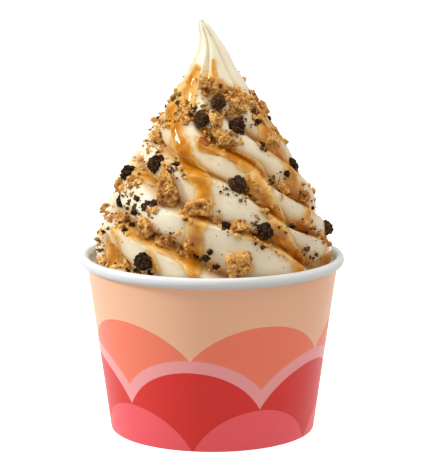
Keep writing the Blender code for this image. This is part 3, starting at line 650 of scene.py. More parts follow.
def add_node(tree, kind, inputs=None, stops=None, **settings):
    """Adds a shader node. Inputs give a value or another node's socket by name or number, and stops give a
    ramp's positions and colours."""
    made = tree.nodes.new(f"ShaderNode{kind}")
    for setting, value in settings.items():
        setattr(made, setting, value)
    for socket, value in (inputs or {}).items():
        if isinstance(value, bpy.types.NodeSocket):
            tree.links.new(value, made.inputs[socket])
        else:
            made.inputs[socket].default_value = value
    for number, (position, shade) in enumerate(stops or ()):
        elements = made.color_ramp.elements
        stop = elements[number] if number < 2 else elements.new(position)
        stop.position = position
        stop.color = shade
    return made


def new_material(name, **values):
    """A Principled material with these socket values, its node tree and its shader."""
    material = bpy.data.materials.new(name)
    material.use_nodes = True
    tree = material.node_tree
    shader = tree.nodes["Principled BSDF"]
    for socket, value in values.items():
        shader.inputs[socket.replace("_", " ")].default_value = value
    return material, tree, shader


def printed_board(cup):
    """Uncoated paperboard, offset printed with rows of overlapping scallops in flat inks, and bare white
    board where there is no ink. The UV runs once round the cup and once up its wall; above 1 it lies on the
    rim and the inside."""
    material, tree, shader = new_material("printed_paperboard", Roughness=0.48, IOR=1.42)
    place = add_node(tree, "SeparateXYZ", {0: add_node(tree, "UVMap", uv_map="UVMap").outputs[0]})
    round_cup, up_cup = place.outputs[0], place.outputs[1]
    height = add_node(tree, "Math", {0: up_cup, 1: SHOULDER_HEIGHT}, operation="MULTIPLY").outputs[0]
    ink = tuple(cup.rose)
    # Each row lies behind the ones before it: ink beyond its arcs, height of their centres, radius in
    # millimetres, and the row's shift in arcs.
    rows = (
        (cup.red, -15.0, 30.0, 0.15),
        (cup.pink, -1.0, 31.0, 0.65),
        (cup.coral, -1.0, 35.5, 0.65),
        (cup.peach, 12.5, 34.0, 0.15),
    )
    for shade, middle, radius, shift in rows:
        along = add_node(tree, "Math", {0: round_cup, 1: SCALLOPS, 2: shift}, operation="MULTIPLY_ADD")
        beside = add_node(tree, "Math", {0: along.outputs[0], 1: 0.5}, operation="PINGPONG")
        arc_width = MEAN_GIRTH / SCALLOPS
        across = add_node(tree, "Math", {0: beside.outputs[0], 1: arc_width}, operation="MULTIPLY")
        over = add_node(tree, "Math", {0: height, 1: middle}, operation="SUBTRACT")
        above = add_node(tree, "Math", {0: over.outputs[0], 1: 0.0}, operation="MAXIMUM")
        spot = add_node(tree, "CombineXYZ", {0: across.outputs[0], 1: above.outputs[0]})
        reach = add_node(tree, "VectorMath", {0: spot.outputs[0]}, operation="LENGTH").outputs["Value"]
        inked = add_node(
            tree,
            "Math",
            {0: reach, 1: 1.0 / INK_EDGE, 2: 0.5 - radius / INK_EDGE},
            operation="MULTIPLY_ADD",
            use_clamp=True,
        )
        blend = {0: inked.outputs[0], 6: ink, 7: tuple(shade)}
        ink = add_node(tree, "Mix", blend, data_type="RGBA").outputs[2]
    bare = add_node(tree, "Math", {0: up_cup, 1: 1.0}, operation="GREATER_THAN")
    blend = {0: bare.outputs[0], 6: ink, 7: tuple(cup.paper)}
    mixed = add_node(tree, "Mix", blend, data_type="RGBA")
    tree.links.new(mixed.outputs[2], shader.inputs["Base Color"])
    # Paper fibres, drawn at 0.9 mm so that they show.
    spot = add_node(tree, "TexCoord").outputs["Object"]
    fibres = add_node(tree, "TexNoise", {"Vector": spot, "Scale": 1.0 / (0.9 * MM), "Detail": 3.0})
    bump = add_node(tree, "Bump", {"Strength": 0.12, "Distance": 0.05 * MM, "Height": fibres.outputs["Fac"]})
    tree.links.new(bump.outputs[0], shader.inputs["Normal"])
    return material


def bare_board(cup):
    """Uncoated paperboard of the base: white, dull and faintly fibrous."""
    material, tree, shader = new_material("uncoated_paperboard", Roughness=0.75)
    spot = add_node(tree, "TexCoord").outputs["Object"]
    fibres = add_node(tree, "TexNoise", {"Vector": spot, "Scale": 1.0 / (1.4 * MM), "Detail": 4.0})
    blend = {0: fibres.outputs["Fac"], 6: tuple(cup.paper), 7: linear_colour("#E9E6DF")}
    mixed = add_node(tree, "Mix", blend, data_type="RGBA")
    tree.links.new(mixed.outputs[2], shader.inputs["Base Color"])
    bump = add_node(tree, "Bump", {"Strength": 0.3, "Distance": 0.08 * MM, "Height": fibres.outputs["Fac"]})
    tree.links.new(bump.outputs[0], shader.inputs["Normal"])
    return material


def vanilla_cream(cream):
    """Soft serve: fat and fine ice crystals scatter light under the surface, which keeps shadows warm and
    soft, and the melting skin gives a faint wet sheen. Caramel that has run over it leaves a stain, and the
    tint also paints shade into the grooves."""
    material, tree, shader = new_material(
        "vanilla_soft_serve",
        Roughness=0.42,
        IOR=1.42,
        Subsurface_Weight=0.20,
        Subsurface_Radius=(1.0, 0.72, 0.45),
        Subsurface_Scale=1.6 * MM,
    )
    spot = add_node(tree, "TexCoord").outputs["Object"]
    # The tint attribute holds the caramel stain and painted shade in the grooves.
    tint = add_node(tree, "Attribute", attribute_name="tint").outputs["Fac"]
    blend = {0: tint, 6: tuple(cream.colour), 7: tuple(cream.tint)}
    mixed = add_node(tree, "Mix", blend, data_type="RGBA")
    tree.links.new(mixed.outputs[2], shader.inputs["Base Color"])
    # Ice crystals and small air bubbles, about 0.6 mm apart, and softer dimples 3 mm apart.
    fine = add_node(tree, "TexNoise", {"Vector": spot, "Scale": 1.0 / (0.6 * MM), "Detail": 3.0})
    broad = add_node(tree, "TexNoise", {"Vector": spot, "Scale": 1.0 / (3.0 * MM), "Detail": 2.0})
    relief = {"Strength": 0.25, "Distance": 0.35 * MM, "Height": broad.outputs["Fac"]}
    dimples = add_node(tree, "Bump", relief).outputs[0]
    relief = {"Strength": 0.18, "Distance": 0.06 * MM, "Height": fine.outputs["Fac"], "Normal": dimples}
    bump = add_node(tree, "Bump", relief)
    tree.links.new(bump.outputs[0], shader.inputs["Normal"])
    return material


def caramel_sauce(caramel):
    """Caramel sauce: clear boiled sugar and butter. It is golden where thin and deep amber where thick, and
    its glossy skin is slightly wavy, so it mirrors the lamps as short glints."""
    material, tree, shader = new_material(
        "caramel_sauce",
        Roughness=0.10,
        IOR=1.45,
        Specular_IOR_Level=0.28,
        Subsurface_Weight=0.25,
        Subsurface_Radius=(1.0, 0.5, 0.15),
        Subsurface_Scale=1.0 * MM,
    )
    spot = add_node(tree, "TexCoord").outputs["Object"]
    depth = add_node(tree, "Attribute", attribute_name="depth").outputs["Fac"]
    swirls = add_node(tree, "TexNoise", {"Vector": spot, "Scale": 1.0 / (4.5 * MM), "Detail": 3.0})
    varied = add_node(tree, "Math", {0: swirls.outputs["Fac"], 1: 0.9, 2: -0.45}, operation="MULTIPLY_ADD")
    total = add_node(tree, "Math", {0: depth, 1: varied.outputs[0]}, operation="ADD", use_clamp=True)
    ramp = add_node(
        tree,
        "ValToRGB",
        {0: total.outputs[0]},
        stops=((0.0, tuple(caramel.thin)), (1.0, tuple(caramel.thick)), (0.5, tuple(caramel.middle))),
    )
    tree.links.new(ramp.outputs["Color"], shader.inputs["Base Color"])
    # A slow unevenness of the surface, which breaks broad glints into short ones.
    waves = add_node(tree, "TexNoise", {"Vector": spot, "Scale": 1.0 / (2.4 * MM), "Detail": 1.0})
    bump = add_node(tree, "Bump", {"Strength": 0.5, "Distance": 0.35 * MM, "Height": waves.outputs["Fac"]})
    tree.links.new(bump.outputs[0], shader.inputs["Normal"])
    return material


def crumbly(name, high, low, dull, shine):
    """Baked crumb in two shades, mixed by the piece's own relief and by grains in the material. Pits and
    cracks, where the relief is low, take the darker shade as painted shade as well as baked colour, and
    raised grains the paler one as painted highlight; a scattered crumb's relief is a random tone.
    """
    material, tree, shader = new_material(name, Roughness=dull, IOR=1.45, Specular_IOR_Level=shine)
    spot = add_node(tree, "TexCoord").outputs["Object"]
    relief = add_node(tree, "Attribute", attribute_name="relief").outputs["Fac"]
    # Grains of flour and sugar: 0.7 mm, as coarse as they need to be to show.
    packing = {"Vector": spot, "Scale": 1.0 / (0.7 * MM), "Detail": 4.0, "Roughness": 0.7}
    crumb = add_node(tree, "TexNoise", packing)
    varied = add_node(tree, "Math", {0: crumb.outputs["Fac"], 1: 1.6, 2: -0.8}, operation="MULTIPLY_ADD")
    total = add_node(tree, "Math", {0: relief, 1: varied.outputs[0]}, operation="ADD", use_clamp=True)
    blend = {0: total.outputs[0], 6: tuple(low), 7: tuple(high)}
    mixed = add_node(tree, "Mix", blend, data_type="RGBA")
    tree.links.new(mixed.outputs[2], shader.inputs["Base Color"])
    bump = add_node(tree, "Bump", {"Strength": 0.6, "Distance": 0.15 * MM, "Height": crumb.outputs["Fac"]})
    tree.links.new(bump.outputs[0], shader.inputs["Normal"])
    return material


# The cup.


def wall_radius(height):
    """Outside of the cup's tapered wall."""
    return FOOT_RADIUS + (SHOULDER_RADIUS - FOOT_RADIUS) * height / SHOULDER_HEIGHT


def arc(radius, height, half_width, half_height, start, end, count):
    """Points (radius, height) on part of an ellipse, from one angle to another."""
    turn = np.radians(np.linspace(start, end, count))
    return np.stack([radius + half_width * np.cos(turn), height + half_height * np.sin(turn)], axis=-1)


def cup_profile(rim_radius, cup_height):
    """The wall's closed section, with how far up its wall each point is, or above 1 where it is bare: the
    rolled rim as an ellipse, straight tapered sides, and a rounded foot."""
    roll_radius, roll_height = rim_radius - RIM_WIDTH / 2.0, cup_height - RIM_HEIGHT / 2.0
    heights = np.linspace(SHOULDER_HEIGHT - 0.4, 0.7, 22)
    roll = arc(roll_radius, roll_height, RIM_WIDTH / 2.0, RIM_HEIGHT / 2.0, 200.0, -118.0, 26)
    outside = np.stack([wall_radius(heights), heights], axis=-1)
    foot = arc(FOOT_RADIUS - 0.65, 0.7, 0.75, 0.7, -20.0, -90.0, 5)
    inner_foot = arc(FOOT_RADIUS - SKIRT_THICKNESS + 0.6, 0.6, 0.6, 0.6, -90.0, -180.0, 4)
    up = np.array([SKIRT_HEIGHT - 0.4, SKIRT_HEIGHT])
    skirt = np.stack([wall_radius(up) - SKIRT_THICKNESS + np.array([0.0, 0.3]), up], axis=-1)
    inside_heights = np.linspace(SKIRT_HEIGHT, SHOULDER_HEIGHT, 14)
    inside = np.stack([wall_radius(inside_heights) - BOARD, inside_heights], axis=-1)
    sections = (roll, outside, foot, inner_foot, skirt, inside)
    printed = (UP_THE_RIM, None, 0.0, UP_INSIDE, UP_INSIDE, UP_INSIDE)
    up_wall = [
        heights / SHOULDER_HEIGHT if share is None else np.full(len(section), share)
        for section, share in zip(sections, printed)
    ]
    return np.concatenate(sections), np.concatenate(up_wall)


def cup_wall_mesh(cup):
    """The section turned round the axis. The side seam stands proud by a step at its edge, which falls to a
    fifth of that across the seam's width, and it shows on the wall's outside and on the rim."""
    section, up_wall = cup_profile(cup.rim_radius / MM, cup.height / MM)
    angle = np.arange(CUP_COLUMNS) / CUP_COLUMNS * 360.0 - 180.0
    past_seam = np.mod(angle - SEAM_ANGLE, 360.0) / 360.0 * MEAN_GIRTH
    step = cup.seam_step / MM * np.where(past_seam < SEAM_WIDTH, 1.0 - 0.8 * past_seam / SEAM_WIDTH, 0.0)
    outside = (up_wall <= UP_THE_RIM)[:, None]
    radius = section[:, :1] + np.where(outside, step[None, :], 0.0)
    turn = np.radians(angle)[None, :]
    height = np.broadcast_to(section[:, 1:], radius.shape)
    points = np.stack([radius * np.sin(turn), -radius * np.cos(turn), height], axis=-1).reshape(-1, 3)
    triangles = facing_out(points, grid_triangles(len(section), CUP_COLUMNS, closed=True))
    row, column = triangles // CUP_COLUMNS, triangles % CUP_COLUMNS
    # The last column's squares end at 1 instead of at the first column's 0.
    last = (column.max(axis=1, keepdims=True) == CUP_COLUMNS - 1) & (column == 0)
    around = np.where(last, CUP_COLUMNS, column) / CUP_COLUMNS
    # A square with one bare corner is bare all over, so the ink ends on an edge.
    up = up_wall[row]
    up = np.where(up.max(axis=1, keepdims=True) > 1.0, UP_INSIDE, up)
    return make_mesh("cup_wall_printed", points, triangles, uv=np.stack([around, up], axis=-1))


def cup_base_mesh():
    """A flat disc of board, whose underside swells down by a quarter of a millimetre at its middle."""
    edge = wall_radius(SKIRT_HEIGHT + 0.6) - BOARD - 0.3
    share = np.linspace(0.02, 1.0, BASE_RINGS)
    share = np.concatenate([share, share[::-1]])
    side = np.repeat([0.0, BOARD - 0.05], BASE_RINGS)
    height = SKIRT_HEIGHT + 0.38 + side - 0.25 * (1.0 - share**2) * (side == 0.0)
    turn = (np.arange(BASE_COLUMNS) / BASE_COLUMNS * math.tau)[None, :]
    radius = (share * edge)[:, None]
    flat = [radius * np.sin(turn), -radius * np.cos(turn)]
    rings = np.stack([*flat, np.broadcast_to(height[:, None], flat[0].shape)], axis=-1)
    return make_mesh("cup_base_board", *closed_skin(rings))


# The cream.


@functools.lru_cache
def swirl_grid(columns, rows):
    """Points of the swirl, (rows, columns, 3), and how far each lies across its ridge. Round the swirl run
    seven ridges, each with its columns closer together at its lip, and up it run the levels. The surface
    is the uneven radius round the leaning axis, and each level is tilted by tilt * cos(angle)."""
    across = np.tile((np.arange(columns) / columns) ** 1.4, RIDGES)
    ridge = np.repeat(np.arange(RIDGES), columns)
    levels = np.linspace(SWIRL_FOOT, PEAK, rows)[:, None]
    crests = crest_angles(levels)[..., 0]
    first, second = crests[ridge].T, crests[ridge + 1].T
    turn = np.radians(first + (second - first) * across)
    height = levels + tilt_at(levels) * np.cos(turn)
    radius = ridged_radius(height, across, second - first)
    return at_cylinder(uneven_radius(radius, turn, height, across, ridge), turn, height), across


# What the photograph shows.


def seen_at(points):
    """Where the photograph shows points: their pixels, and how far away they are along its view."""
    lean = math.radians(CAMERA_ANGLE)
    forward = np.array([0.0, math.cos(lean), -math.sin(lean)])
    upward = np.array([0.0, math.sin(lean), math.cos(lean)])
    from_aim = points - np.array([0.0, 0.0, AIM_HEIGHT])
    away = CAMERA_DISTANCE + from_aim @ forward
    scale = CAMERA_DISTANCE / PIXEL / away
    right, up = AIM_PIXEL[0] + from_aim[..., 0] * scale, AIM_PIXEL[1] - (from_aim @ upward) * scale
    return np.stack([right, up], axis=-1), away


@functools.lru_cache
def nearest_in_pixels(growth):
    """For each pixel, the number of the fine grid's point that is nearest to the camera there. A pixel that
    shows no swirl takes over its neighbour's, out to this many pixels, and beyond them it has -1."""
    place, away = seen_at(swirl_grid(*FINE_GRID)[0].reshape(-1, 3))
    column, row = np.floor(place).astype(int).T
    pixel = row * PHOTO_WIDTH + column
    order = np.lexsort((away, pixel))
    shown, first = np.unique(pixel[order], return_index=True)
    front = np.full(PHOTO_WIDTH * PHOTO_HEIGHT, -1)
    front[shown] = order[first]
    front = front.reshape(PHOTO_HEIGHT, PHOTO_WIDTH)
    for _ in range(growth):
        for shift, axis in ((1, 0), (-1, 0), (1, 1), (-1, 1)):
            front = np.where(front < 0, np.roll(front, shift, axis), front)
    return front


def seen_on_swirl(pixels, growth):
    """The angle and height of the swirl where the photograph shows it at these pixels, (count, 2). Pixels
    farther than the growth from the swirl are left out."""
    column, row = np.floor(pixels).astype(int).T
    number = nearest_in_pixels(growth)[row, column]
    point = swirl_grid(*FINE_GRID)[0].reshape(-1, 3)[number[number >= 0]]
    return np.degrees(np.arctan2(point[:, 0] - lean_at(point[:, 2]), -point[:, 1])), point[:, 2]


# The caramel's streams.


def smooth_line(places, half_widths, spacing, number):
    """Steps this far apart along a curve through places, with half widths that wander a little."""
    length_along = np.concatenate([[0.0], np.cumsum(np.linalg.norm(np.diff(places, axis=0), axis=1))])
    at = np.arange(0.0, length_along[-1], spacing)
    line = np.stack([curve_through(length_along, axis, at) for axis in places.T], axis=-1)
    wander = np.stack([at, np.full(at.shape, 7.3 * number), np.zeros(at.shape)], axis=-1)
    half = curve_through(length_along, half_widths, at)
    return line, half * (1.0 + 0.14 * noise(wander, 5.0, 31) + 0.08 * noise(wander, 2.0, 32))


@functools.lru_cache
def all_streams():
    """Every stream: its line, half widths and extra darkness. The seen ones lie in the photograph's plane,
    in millimetres, and the unseen side's in space."""
    streams = []
    for number, (darkness, seen) in enumerate(STREAMS_SEEN):
        x, y, width = np.array(seen, float).T * PIXEL
        line = np.stack([x, y], axis=-1)
        streams.append((*smooth_line(line, width / 2.0, SEEN_SPACING, number), darkness))
    for number, (width, angle, top, bottom) in enumerate(BACK_STREAMS):
        height = np.arange(top, bottom, -3.0)
        sway = BACK_SWAY * np.sin(height / BACK_WAVE + number)
        angles = angle + sway + BACK_DRIFT * (height - top)
        line = at_cylinder(mean_radius(angles, height, 1.0), np.radians(angles), height)
        half = np.full(len(height), width / 2.0) * np.clip((height - bottom) / 8.0, 0.6, 1.0)
        streams.append((*smooth_line(line, half, BACK_SPACING, number + 50), BACK_DARKNESS))
    return streams


def caramel_near(points):
    """How far points on the swirl lie inside the nearest stream's edge (below 0 outside it), and that
    stream's darkness. A seen stream reaches all the cream behind its line in the photograph, and narrows
    away where the swirl turns its back."""
    inside = np.full(len(points), LEAST_INSIDE)
    darkness = np.zeros(len(points))
    flat = seen_at(points)[0] * PIXEL
    turned_away = TURNED_AWAY * np.clip(points[:, 1], 0.0, None)
    for line, half, dark in all_streams():
        seen = line.shape[1] == 2
        at = flat if seen else points
        low, high = line.min(axis=0) - STREAM_MARGIN, line.max(axis=0) + STREAM_MARGIN
        near = ((at > low) & (at < high)).all(axis=1)
        near &= (turned_away < TURNED_LIMIT) | (not seen)
        near = np.flatnonzero(near)
        for part in np.array_split(near, len(near) // POINTS_AT_ONCE + 1):
            reach = half - np.linalg.norm(at[part, None, :] - line, axis=-1)
            deepest = reach.max(axis=1, initial=LEAST_INSIDE) - (turned_away[part] if seen else 0.0)
            darkness[part] = np.where(deepest > inside[part], dark, darkness[part])
            inside[part] = np.maximum(inside[part], deepest)
    return inside, darkness


def cream_mesh(cream):
    """The swirl, rounded off at the peak, on a pool that meets the cup's wall and fills it to the base. Its
    tint is a film at the streams' edges, caramel that fades with the distance from them, and painted shade
    that darkens the grooves."""
    rings, across = swirl_grid(cream.columns, cream.rows)
    foot = rings[0]
    turn = np.arctan2(foot[:, 0], -foot[:, 1])
    reach = np.hypot(foot[:, 0], foot[:, 1])
    pool = []
    for share, height in POOL_RINGS:
        edge = wall_radius(height) - BOARD - 0.04
        radius = edge + (reach - edge) * share
        pool.append(at_cylinder(radius, turn, np.full(turn.shape, height)))
    tip = rings[-1].mean(axis=0)
    cap = []
    for lift in np.radians((20.0, 40.0, 58.0, 74.0, 85.0)):
        cap.append(tip + (rings[-1] - tip) * math.cos(lift) + np.array([-0.15, 0.0, 0.75]) * math.sin(lift))
    points, triangles = closed_skin(np.concatenate([pool, rings, cap]))
    inside, _ = caramel_near(points)
    outside = np.clip(-inside + 0.6 * noise(points, 2.2, 6), 0.0, None)
    # Painted shade: the tint grows the deeper a point lies in its groove, and fades out towards the peak.
    groove = 1.0 - curve_through(*zip(*RIDGE_SECTION), across)
    groove = np.concatenate([np.tile(groove, len(rings) + len(pool) + len(cap)), [0.0, 0.0]])
    fade = rise(points[:, 2], *STAIN_AND_SHADE_HEIGHTS)
    groove *= 1.0 - fade
    film = 0.55 * np.exp(-outside / 0.7)
    # The stain round the streams, plus the painted shade in the grooves.
    melted = 0.42 * np.exp(-outside / 5.0) * (1.0 - 0.75 * fade) + 0.85 * groove**1.2
    return make_mesh("soft_serve_swirl", points, triangles, {"tint": film + melted})


def shell(top, under, kept):
    """The skin between two grids of points over the squares that are kept: the top's squares, the under
    side's turned over, and a wall along every edge that has a square on one side only."""
    rows, columns = kept.shape
    row, column = np.nonzero(kept)
    following = (column + 1) % columns
    corners = [row * columns + column, row * columns + following]
    corners += [(row + 1) * columns + following, (row + 1) * columns + column]
    squares = np.stack(corners, axis=-1)
    edges = np.concatenate([squares[:, [i, (i + 1) % 4]] for i in range(4)])
    count = rows * columns + columns
    keys = edges[:, 0] * count + edges[:, 1]
    lone = edges[~np.isin(keys, edges[:, 1] * count + edges[:, 0])]
    below = squares[:, ::-1] + count
    walls = np.stack([lone[:, 1], lone[:, 0], lone[:, 0] + count, lone[:, 1] + count], axis=-1)
    squares = np.concatenate([squares, below, walls])
    used, numbers = np.unique(squares, return_inverse=True)
    numbers = numbers.reshape(squares.shape)
    points = np.concatenate([top.reshape(-1, 3), under.reshape(-1, 3)])[used]
    triangles = np.concatenate([numbers[:, [0, 1, 2]], numbers[:, [0, 2, 3]]])
    return points, facing_out(points, triangles), used


def caramel_mesh(thickness):
    """All the streams in one skin. Its underside lies inside the cream. Its top is the cream, with the
    grooves bridged by averaging neighbours, plus T * sqrt(1 - (1 - s)^2) along the normal, where s goes
    from 0 at a stream's edge to 1 at CARAMEL_EDGE inside it. T thins over lips, and swells inside a stream
    and in the darkest ones."""
    points, across = swirl_grid(*FINE_GRID)
    turn = np.arctan2(points[..., 0] - lean_at(points[..., 2]), -points[..., 1])
    out = outward(turn, points[..., 2])
    bridged = points
    for _ in range(BRIDGING_ROUNDS):
        around = np.roll(bridged, 1, axis=1) + np.roll(bridged, -1, axis=1)
        upright = np.concatenate([bridged[1:], bridged[-1:]])
        upright = upright + np.concatenate([bridged[:1], bridged[:-1]])
        bridged = (bridged + around + upright) / 5.0
    gap = np.clip(np.sum((bridged - points) * out, axis=-1), 0.0, 1.2)
    base = points + out * gap[..., None]
    around = np.roll(base, -1, axis=1) - np.roll(base, 1, axis=1)
    normal = np.cross(around, np.gradient(base, axis=0))
    normal /= np.maximum(np.linalg.norm(normal, axis=-1, keepdims=True), 1e-6)
    normal *= np.sign(np.sum(normal * out, axis=-1, keepdims=True))
    inside, darkness = (values.reshape(gap.shape) for values in caramel_near(points.reshape(-1, 3)))
    inside = inside + 0.28 * noise(points, 2.6, 33) + 0.14 * noise(points, 1.1, 34)
    lip = np.exp(-((np.minimum(across, 1.0 - across) / 0.09) ** 2))
    body = thickness * (1.0 + 0.35 * noise(points, 3.4, 41)) * (1.0 - 0.5 * lip)
    body *= 1.0 + 0.25 * rise(inside, 1.0, 3.0) + 0.9 * np.clip(darkness - 0.7, 0.0, None)
    share = np.clip(inside / CARAMEL_EDGE, -0.6, 1.0)
    lift = body * np.where(share > 0.0, np.sqrt(np.clip(1.0 - (1.0 - share) ** 2, 0.0, 1.0)), share)
    depth = lift / (2.4 * thickness) + 0.32 * gap + 0.6 * darkness + 0.12 * rise(inside, 0.5, 2.5)
    wet = share > -0.55
    kept = wet[:-1] & wet[1:] & np.roll(wet, -1, axis=1)[:-1] & np.roll(wet, -1, axis=1)[1:]
    skin, triangles, used = shell(base + normal * lift[..., None], points - 0.7 * out, kept)
    depths = np.concatenate([depth.ravel(), np.zeros(depth.size)])[used]
    return make_mesh("caramel_streams", skin, triangles, {"depth": depths})


# Biscuit and cookie.


def broken_lump(half_sides, seed, kind):
    """A broken piece round the origin, with its relief. A biscuit chunk is a block of seeded flat faces,
    radius = (sum of (n . d / h)^p)^(-1/p) over face normals n at distances h; a cookie lump is a ball. The
    biscuit's relief is noise of several sizes with packed grains, and the cookie's is packed grains of two
    sizes with fine noise."""
    draw = np.random.default_rng(seed)
    size = float(np.mean(half_sides))
    columns = int(np.clip(LUMP_COLUMNS * size, *LUMP_COLUMN_LIMITS))
    directions = ball_directions(columns * 2 // 3, columns)
    if kind == "biscuit":
        normals = np.concatenate([np.eye(3), -np.eye(3), draw.normal(size=(BLOCK_FACES, 3))])
        normals[:6] += draw.normal(size=(6, 3)) * 0.22
        normals /= np.linalg.norm(normals, axis=1, keepdims=True)
        faces = np.concatenate([np.ones(6), draw.uniform(0.92, 1.15, BLOCK_FACES)])
        reach = np.clip(directions @ normals.T, 0.0, None) / faces
        radius = (reach**BLOCK_POWER).sum(axis=-1) ** (-1.0 / BLOCK_POWER)
        radius = radius * (1.0 + 0.12 * noise(directions, 0.42, seed))
    else:
        radius = 1.0 + 0.24 * noise(directions, 0.55, seed)
    points = directions * radius[..., None]
    points *= half_sides / np.percentile(np.abs(points), 99.0, axis=(0, 1))
    here = points + draw.uniform(0.0, 90.0, 3)
    if kind == "biscuit":
        relief = 0.40 * noise(here, 1.5, seed) + 0.34 * noise(here, 0.75, seed + 7)
        relief += 0.22 * noise(here, 0.42, seed + 9) + 0.34 * (grains(here, 0.9, seed + 11) - 0.6)
        relief += 0.08 * size * noise(here, 0.6 * size, seed + 5)
    else:
        relief = 0.70 * (grains(here, 1.4, seed) - 0.55) + 0.50 * (grains(here, 0.7, seed + 7) - 0.5)
        relief += 0.34 * noise(here, 0.45, seed + 9)
    relief *= min(1.0, 0.35 + size / 4.0)
    points = points + directions * (relief - 0.05 * size)[..., None]
    # The shade follows the relief: painted shade in the pits and painted highlight on the raised grains,
    # over the crumb's own tone.
    shade, gain = RELIEF_SHADES[kind]
    return points, shade + gain * relief


def placed_piece(name, kind, angle, middle, half_sides, seed):
    """A broken lump turned to lie on the cream, paler or darker than the next one."""
    points, relief = broken_lump(half_sides, seed, kind)
    relief = relief + np.random.default_rng(seed + TONE_SEED).uniform(-0.25, 0.10)
    rings = middle + points @ local_axes(np.array(float(angle)), middle[2])
    points, triangles = closed_skin(rings)
    return make_mesh(name, points, triangles, {"relief": np.concatenate([relief.ravel(), [0.5, 0.5]])})


def lying_piece(name, kind, angle, height, size, tallness, seed):
    """A small piece that lies in the cream by about a third of its size."""
    radius = float(mean_radius(angle, height, 0.35 * size)) + PIECE_LIFT * size / 2.0
    middle = at_cylinder(radius, math.radians(angle), height)
    half_sides = size / 2.0 * np.array([1.0, tallness, PIECE_DEPTH]) / math.sqrt(tallness) * PIECE_SCALE
    return placed_piece(name, kind, angle, middle, half_sides, seed)


def with_kinds(pieces):
    """The rows of a table that is grouped by kind, each with its kind in front."""
    return [(kind, *row) for kind, rows in pieces.items() for row in rows]


def node_shape(name):
    """Where a topping's CAD solid lies: its angle, its middle, and its half sides along its own axes."""
    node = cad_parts[name]
    points = np.empty(len(node.data.vertices) * 3)
    node.data.vertices.foreach_get("co", points)
    points = points.reshape(-1, 3) / MM
    middle = (points.min(axis=0) + points.max(axis=0)) / 2.0
    angle = math.degrees(math.atan2(middle[0] - float(lean_at(middle[2])), -middle[1]))
    own = (points - middle) @ local_axes(np.array(angle), middle[2]).T
    return angle, middle, (own.max(axis=0) - own.min(axis=0)) / 2.0


def turned_ways(draw, count):
    """Seeded rotations, as matrices of unit quaternions."""
    w, x, y, z = draw.normal(size=(count, 4)).T
    size = np.sqrt(w * w + x * x + y * y + z * z)
    w, x, y, z = w / size, x / size, y / size, z / size
    rows = [
        [1 - 2 * (y * y + z * z), 2 * (x * y - z * w), 2 * (x * z + y * w)],
        [2 * (x * y + z * w), 1 - 2 * (x * x + z * z), 2 * (y * z - x * w)],
        [2 * (x * z - y * w), 2 * (y * z + x * w), 1 - 2 * (x * x + y * y)],
    ]
    return np.moveaxis(np.array(rows), -1, 0)


def scattered_mesh(name, angles, heights, sizes, detail, draw):
    """Crumbs joined into one mesh. Each is one of a few rough balls, turned at random, and lies by about a
    quarter of its size in the cream, or in the caramel where there is some."""
    variants = []
    for number in range(CRUMB_SHAPES):
        directions = ball_directions(*detail)
        uneven = 1.0 + 0.65 * noise(directions * 3.0 + 11.0 * number, 1.7, 50 + number)
        stretch = draw.uniform(0.55, 1.30, 3)
        variants.append(closed_skin(directions * uneven[..., None] * 0.5 * stretch))
    surface = at_cylinder(cream_radius(angles, heights), np.radians(angles), heights)
    inside, _ = caramel_near(surface)
    on_caramel = CARAMEL_THICKNESS * np.sqrt(np.clip(inside / CARAMEL_EDGE, 0.0, 1.0))
    axes = local_axes(angles, heights)
    middles = surface + axes[:, 2] * (on_caramel + CRUMB_LIFT * sizes)[:, None]
    which = draw.integers(0, len(variants), len(angles))
    ways = turned_ways(draw, len(angles))
    shapes = np.stack([points for points, _ in variants])[which] * sizes[:, None, None]
    points = middles[:, None] + shapes @ ways
    count = points.shape[1]
    first = (np.arange(len(angles)) * count)[:, None, None]
    triangles = np.stack([faces for _, faces in variants])[which] + first
    tone = np.repeat(draw.uniform(0.3, 1.3, len(angles)), count)
    mesh = make_mesh(name, points.reshape(-1, 3), triangles.reshape(-1, 3), {"relief": tone})
    mesh.shade_flat()
    return mesh


def back_places(draw, counts):
    """Angles and heights of seeded clusters on the side that the photograph doesn't show."""
    angle = np.repeat(draw.uniform(*BACK_ANGLES, BACK_CLUSTERS), counts)
    height = np.repeat(draw.uniform(*BACK_HEIGHTS, BACK_CLUSTERS), counts)
    height = np.clip(height + draw.normal(0.0, BACK_SPREAD, len(height)), SWIRL_FOOT + 1.0, CRUMB_CEILING)
    turn = np.degrees(draw.normal(0.0, BACK_SPREAD, len(angle)) / cream_radius(angle, height))
    return angle + turn, height


def crumb_places(draw, kind):
    """Seeded places round the clusters read from the photograph, with sizes that are mostly small."""
    rows = np.array(CRUMBS_SEEN, float)
    counts = (CRUMBS_A_CRUMB[kind] * rows[:, 3 if kind == "biscuit" else 4]).astype(int)
    middle = np.repeat(rows[:, :2], counts, axis=0)
    spread = np.repeat(rows[:, 2], counts)[:, None]
    angle, height = seen_on_swirl(middle + 0.8 * spread * draw.normal(0.0, 1.0, middle.shape), 1)
    unseen = back_places(draw, draw.integers(*BACK_CRUMBS, BACK_CLUSTERS))
    angle, height = np.concatenate([angle, unseen[0]]), np.concatenate([height, unseen[1]])
    small, large = CRUMB_SIZES[kind]
    return angle, height, small + (large - small) * draw.uniform(0.0, 1.0, len(angle)) ** 2.2


